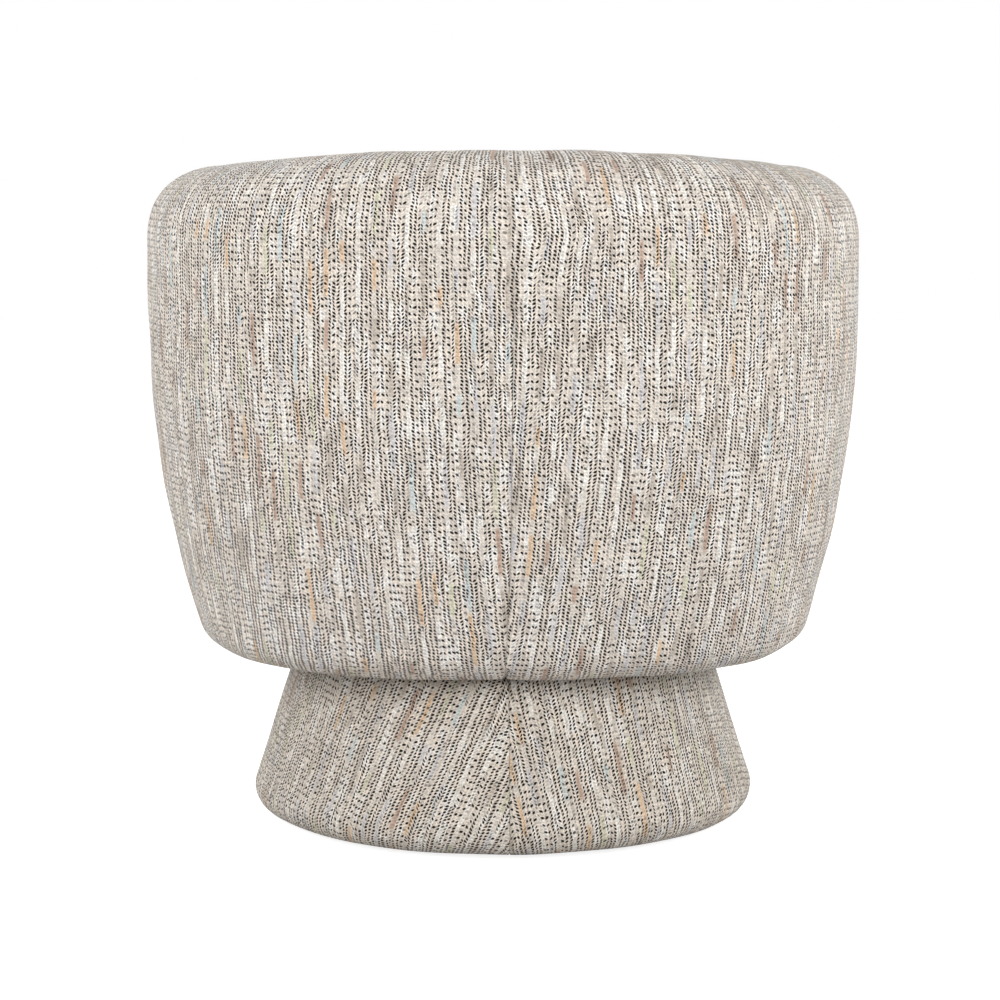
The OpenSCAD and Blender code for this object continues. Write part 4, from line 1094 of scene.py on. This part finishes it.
def straps():
    """Elastic webbing in two layers, each strap a flat ribbon with rounded edges."""
    grids, maps, faces, first = [], [], [], 0
    q = np.radians(np.arange(0, 360, 30))
    round_r = STRAP_T / 2
    flat = STRAP_W / 2 - round_r
    middle = np.where(np.cos(q) > 0, flat, -flat)
    shape = joined(middle + round_r * np.cos(q), round_r * np.sin(q))
    deck_end = FRAME_E + FRAME_W + GAP + FRAME_W * 0.75
    edge = RING_D + FRAME_W / 2 + GAP
    runs = []
    for i in range(-2, 3):
        x = i * 0.24 * (HALF_W - deck_end)
        back = chord(x, HALF_W - deck_end, BACK - deck_end)
        front = chord(x, HALF_W - edge, FRONT - edge)
        runs.append((0, x, -front, back, DECK_Z + round_r))
    for share in (-0.5, -0.25, 0, 0.25):
        y = share * (BACK + FRONT) / 2
        long = chord(y, BACK - deck_end, HALF_W - deck_end)
        runs.append((1, y, -long, long, DECK_Z + STRAP_T + GAP + round_r))
    for kind, at, a, b, z in runs:
        t = np.linspace(a, b, 24)
        sag = -STRAP_SAG * np.sin(np.pi * (t - a) / (b - a))
        across, up = np.meshgrid(shape[:, 0], t)[0], np.broadcast_to(shape[:, 1], (24, len(q)))
        along = np.broadcast_to(t[:, None], across.shape)
        xy = (at + across, along) if kind == 0 else (along, at + across)
        grids.append(np.stack([xy[0], xy[1], z + up + sag[:, None]], -1).reshape(-1, 3))
        turn = -1 if kind == 0 else 1
        maps.append(corner_map(joined(across, along), True)[:, ::turn])
        faces.append((quads(24, len(q), True) + first)[:, ::turn])
        first += 24 * len(q)
    grids, faces, maps = np.concatenate(grids), np.concatenate(faces), np.concatenate(maps)
    return mesh_piece("seat_webbing_straps", grids, faces, maps)


finish_piece(straps(), WEBBING, "seat", ["seat_webbing"])

# %% Tub's bottom cloth

CLOTH_OFF, CLOTH_SAG = 0.0004, 0.0004  # how far the cloth hangs off the ring, and its slack
HEM_IN, HOLE_ROOM, HEM_UP = 0.006, 0.0006, 0.002


def plan_sheet(name, line, sag):
    """A thin cloth round the plan on a line of depths and heights, a little slack between edges."""
    u = np.linspace(0, 360, 180, endpoint=False)
    section = resample(line, np.linspace(0, line_length(line), 22))
    z = section[:, 1] - sag * np.sin(np.pi * np.linspace(0, 1, 22))
    grid = np.stack([plan(u, d) for d in section[:, 0]])
    p = np.concatenate([grid, np.broadcast_to(z[:, None, None], grid[..., :1].shape)], -1)
    return mesh_piece(name, p, quads(*p.shape[:2], True), corner_map(p[..., :2], True), flip=True)


def cloth_area(obj):
    """Area of a mesh in square metres."""
    return float(read(obj.data.polygons, "area").sum())


hole = RING_D + RING_W + HOLE_ROOM
cloth_z = RING_Z - CLOTH_OFF
hem = np.array([[LIP_D + HEM_IN, cloth_z], [hole, cloth_z], [hole, RING_TOP - HEM_UP]])
tub_bottom = finish_piece(plan_sheet("tub_bottom_cloth", hem, CLOTH_SAG),
                          BOTTOM_CLOTH, "seat", ["underside_cloth"])
cloth_area(tub_bottom)

# %% [markdown]
# The plinth is a cone with a rounded foot, covered in two panels. Cloth for a cone is cut flat,
# from the cone unrolled, so its straight threads run off at an angle from the seam at the back,
# one side steeper. A map that went round with the cone would bend every thread. So each panel's
# map is the unrolled cone, turned by the angle at which that panel was cut.

# %% Plinth's section

PLINTH_CR, PLINTH_CZ = PLINTH_R - PLINTH_CORNER, PLINTH_Z + PLINTH_CORNER
LEAN_R = PLINTH_CR + PLINTH_CORNER * math.cos(LEAN)
LEAN_Z = PLINTH_CZ + PLINTH_CORNER * math.sin(LEAN)
ROUND_Z = PLINTH_TOP - PLINTH_ROUND
UNDER_W = 0.025  # cloth turned in under the foot
FOLD_IN, FOLD_W, FOLD_H = 0.009, 0.003, 0.014  # the fold at the top
COVER_OFF = 0.0034  # thickness of the plinth's cloth with its slackness


def wall_r(e, z):
    """Radius of the plinth's leaning wall at a height, e inside its face."""
    return LEAN_R - (z - LEAN_Z) * math.tan(LEAN) - e / math.cos(LEAN)


def plinth_line():
    """Section of the cover from its turned-under foot to its fold at the top."""
    under = PLINTH_CR - UNDER_W
    q = np.radians(np.linspace(-90, LEAN_A, 80))
    foot = joined(PLINTH_CR + PLINTH_CORNER * np.cos(q), PLINTH_CZ + PLINTH_CORNER * np.sin(q))
    q = np.radians(np.linspace(LEAN_A, 90, 30))
    top_r = wall_r(PLINTH_ROUND, ROUND_Z)
    top = joined(top_r + PLINTH_ROUND * np.cos(q), ROUND_Z + PLINTH_ROUND * np.sin(q))
    fold = wall_r(COVER_OFF + PLINTH_PAD + GAP + FOLD_IN, PLINTH_TOP - COVER_OFF) - GAP - FOLD_W
    down = [[fold, PLINTH_TOP], [fold, PLINTH_TOP - FOLD_H]]
    return np.concatenate([[[under, PLINTH_Z]], foot, top, down])


print("plinth's lean", LEAN_A, "degrees from", round(LEAN_Z, 3), "m up")

# %% Plinth covers

BASE_SEAM = 91.4  # plan angle of the seam at the back
GRAIN_LEFT, GRAIN_RIGHT = 25.0, 12.0  # angles at which the panels' threads leave the seam


def plinth_cover(name, start, end, grain, seed):
    """One panel, its map the unrolled cone turned by the grain's angle at the back seam."""
    line = plinth_line()
    section = resample(line, stations(line_length(line), 0.0045, False, False))
    half_round = math.pi * 0.25
    phi = np.radians(start + (end - start) * stations(half_round, 0.0055) / half_round)
    rr, pp = np.meshgrid(section[:, 0], phi, indexing="ij")
    zz = np.broadcast_to(section[:, 1][:, None], rr.shape)
    p = np.stack([rr * np.cos(pp), rr * np.sin(pp), zz], -1)
    run = running(section)
    at_lean = np.interp(LEAN_Z, section[:60, 1], run[:60])
    far = LEAN_R / math.sin(LEAN) - (run - at_lean)
    psi = np.abs(pp - math.radians(BASE_SEAM)) * math.sin(LEAN)
    out, side = far[:, None] * np.cos(psi), far[:, None] * np.sin(psi)
    a = math.radians(grain)
    x = side * math.cos(a) - out * math.sin(a)
    y = -(side * math.sin(a) + out * math.cos(a))
    hand = 1 if start < end else -1
    n = normals(p) * hand
    p = p - n * ripple(side + seed, out, seed, 0.0005)[..., None]
    p = turned_in(p, ("left", "right"), radius=0.0016, tuck=0.003, sign=hand)
    uv = edged(joined(x * hand, y), ("left", "right"))
    return mesh_piece(name, p, quads(*p.shape[:2]), corner_map(uv), flip=hand < 0)


finish_piece(plinth_cover("plinth_cover_left", BASE_SEAM, -90.0, GRAIN_LEFT, 2),
             TWEED_BASE_LEFT, "base", ["base_cover_left", "base_padding"])
finish_piece(plinth_cover("plinth_cover_right", BASE_SEAM, 270.0, GRAIN_RIGHT, 4),
             TWEED_BASE_RIGHT, "base", ["base_cover_right"])

# %% Plinth's bottom cloth

GLIDE_R, GLIDE_IN, CLOTH_CLEAR = 0.013, 0.006, 0.003


def base_cloth(radius):
    """The round black cloth under the plinth, inside its glides, a little low at its middle."""
    ring_z = PLINTH_CZ - (PLINTH_CORNER - (COVER_OFF + PLINTH_PAD + GAP))
    u = np.radians(np.linspace(0, 360, 120, endpoint=False))
    t = np.linspace(0, 1, 16)[:, None]
    r = radius * (1 - t)
    z = ring_z - 0.0006 - 0.0012 * np.sin(np.pi * t / 2) + 0 * u
    p = np.stack([r * np.cos(u), r * np.sin(u), z], -1)
    seen = corner_map(p[..., :2], True)
    faces = quads(*p.shape[:2], True)
    return mesh_piece("plinth_bottom_cloth", p, faces, seen, flip=True, weld=True)


radius = PLINTH_CR - UNDER_W - GLIDE_R - GLIDE_IN - GLIDE_R - CLOTH_CLEAR
plinth_cloth, across = base_cloth(radius), 2 * radius
finish_piece(plinth_cloth, BOTTOM_CLOTH, "base", ["base_bottom_cloth"])
cloth_area(plinth_cloth)
print("plinth's bottom cloth", round(across, 3), "m across")

# %% [markdown]
# The camera stands behind the chair, 3.2 m back and a little above it, with a long lens, as a
# catalogue picture is taken. One hard sun would throw a dark side, so two large soft lamps stand
# either side of the camera, one lights the front and two weak ones the sides, all aimed at the
# middle of the chair.

# %% Camera and lamps

LENS, SENSOR = 104.2, 36.0
EYE, EYE_DOWN = (0.0035, 3.2, 0.737), 0.1221
MIDDLE = (0, 0, 0.4)

scene = bpy.context.scene
scene.view_settings.view_transform = "Standard"
camera = bpy.data.objects.new("camera", bpy.data.cameras.new("camera"))
camera.data.lens, camera.data.sensor_width = LENS, SENSOR
camera.location = EYE
camera.rotation_euler = (math.pi / 2 - EYE_DOWN, 0, math.pi)
scene.collection.objects.link(camera)
scene.camera = camera


def lamp(name, place, size_m, watts):
    """A square area light turned to the middle of the chair."""
    light = bpy.data.lights.new(name, "AREA")
    light.size, light.energy = size_m, watts
    obj = bpy.data.objects.new(name, light)
    obj.location = place
    obj.rotation_euler = (Vector(MIDDLE) - Vector(place)).to_track_quat("-Z", "Y").to_euler()
    scene.collection.objects.link(obj)


lamp("key_left", (2.1, 2.8, 1.7), 1.5, 48)
lamp("key_right", (-2.2, 2.8, 1.7), 1.5, 52)
lamp("front", (0.5, -3.2, 1.8), 1.8, 50)
lamp("side_left", (2.8, -0.2, 1.2), 1.6, 17)
lamp("side_right", (-2.8, -0.2, 1.2), 1.6, 22)
print("camera at", EYE, "with", len(bpy.data.lights), "lamps")

# %% [markdown]
# The sky gives the rest of the light, stronger at the horizon than overhead. The background has
# to be white, but a brighter lamp would bleach the cloth. So the world and the floor show white
# only to the camera and in gloss. The floor keeps the chair's shadow by adding its own shader.

# %% White background


def white_to_camera(tree, output, other, strength=1.0, keep=False):
    """Shows white to the camera and in gloss, over its own shader where its shadow is kept."""
    kind = "ShaderNodeEmission" if output.name == "Material Output" else "ShaderNodeBackground"
    glow = tree.nodes.new(kind)
    glow.inputs["Color"].default_value = (1, 1, 1, 1)
    glow.inputs["Strength"].default_value = strength
    path = tree.nodes.new("ShaderNodeLightPath")
    seen = tree.nodes.new("ShaderNodeMath")
    seen.operation = "MAXIMUM"
    tree.links.new(path.outputs["Is Camera Ray"], seen.inputs[0])
    tree.links.new(path.outputs["Is Glossy Ray"], seen.inputs[1])
    shown = glow.outputs[0]
    if keep:
        both = tree.nodes.new("ShaderNodeAddShader")
        tree.links.new(glow.outputs[0], both.inputs[0])
        tree.links.new(other, both.inputs[1])
        shown = both.outputs[0]
    mix = tree.nodes.new("ShaderNodeMixShader")
    tree.links.new(seen.outputs[0], mix.inputs[0])
    tree.links.new(other, mix.inputs[1])
    tree.links.new(shown, mix.inputs[2])
    tree.links.new(mix.outputs[0], output.inputs["Surface"])


print("white to the camera: world and floor")

# %% Sky

SKY_LOW, SKY_HIGH = 0.615, 0.335  # strength at the horizon and overhead

world = bpy.data.worlds.new("studio")
scene.world = world
world.use_nodes = True
sky = world.node_tree.nodes["Background"]
sky.inputs["Color"].default_value = (1.0, 1.0, 1.0, 1)
way = world.node_tree.nodes.new("ShaderNodeSeparateXYZ")
ray = world.node_tree.nodes.new("ShaderNodeTexCoord").outputs["Generated"]
world.node_tree.links.new(ray, way.inputs[0])
level = world.node_tree.nodes.new("ShaderNodeMapRange")
for socket, value in zip(list(level.inputs)[1:5], (0.0, 1.0, SKY_LOW, SKY_HIGH)):
    socket.default_value = value
world.node_tree.links.new(way.outputs["Z"], level.inputs["Value"])
world.node_tree.links.new(level.outputs[0], sky.inputs["Strength"])
white_to_camera(world.node_tree, world.node_tree.nodes["World Output"], sky.outputs[0])

print("sky from", SKY_LOW, "to", SKY_HIGH)

# %% Floor

FLOOR_GLOW, FLOOR_HALF, FLOOR_Z = 0.84, 9, -0.0004

floor_steps = np.linspace(-FLOOR_HALF, FLOOR_HALF, 25)
floor_x, floor_y = np.meshgrid(floor_steps, floor_steps)
floor_grid = np.stack([floor_x, floor_y, np.full(floor_x.shape, FLOOR_Z)], -1)
floor = mesh_piece("floor", floor_grid, quads(*floor_x.shape), corner_map(floor_grid[..., :2]))
paint = Graph("pale_floor", 0.9)
speck = paint.noise(paint.coords(), 30.0, 3)
tone = paint.ramp(speck, [(0.3, srgb(184, 183, 182)), (0.7, srgb(192, 191, 190))])
paint.put(paint.shader.inputs["Base Color"], tone)
floor_out = paint.tree.nodes["Material Output"]
white_to_camera(paint.tree, floor_out, paint.shader.outputs[0], FLOOR_GLOW, True)
floor.data.materials.append(paint.mat)
print("floor", 2 * FLOOR_HALF, "m across")
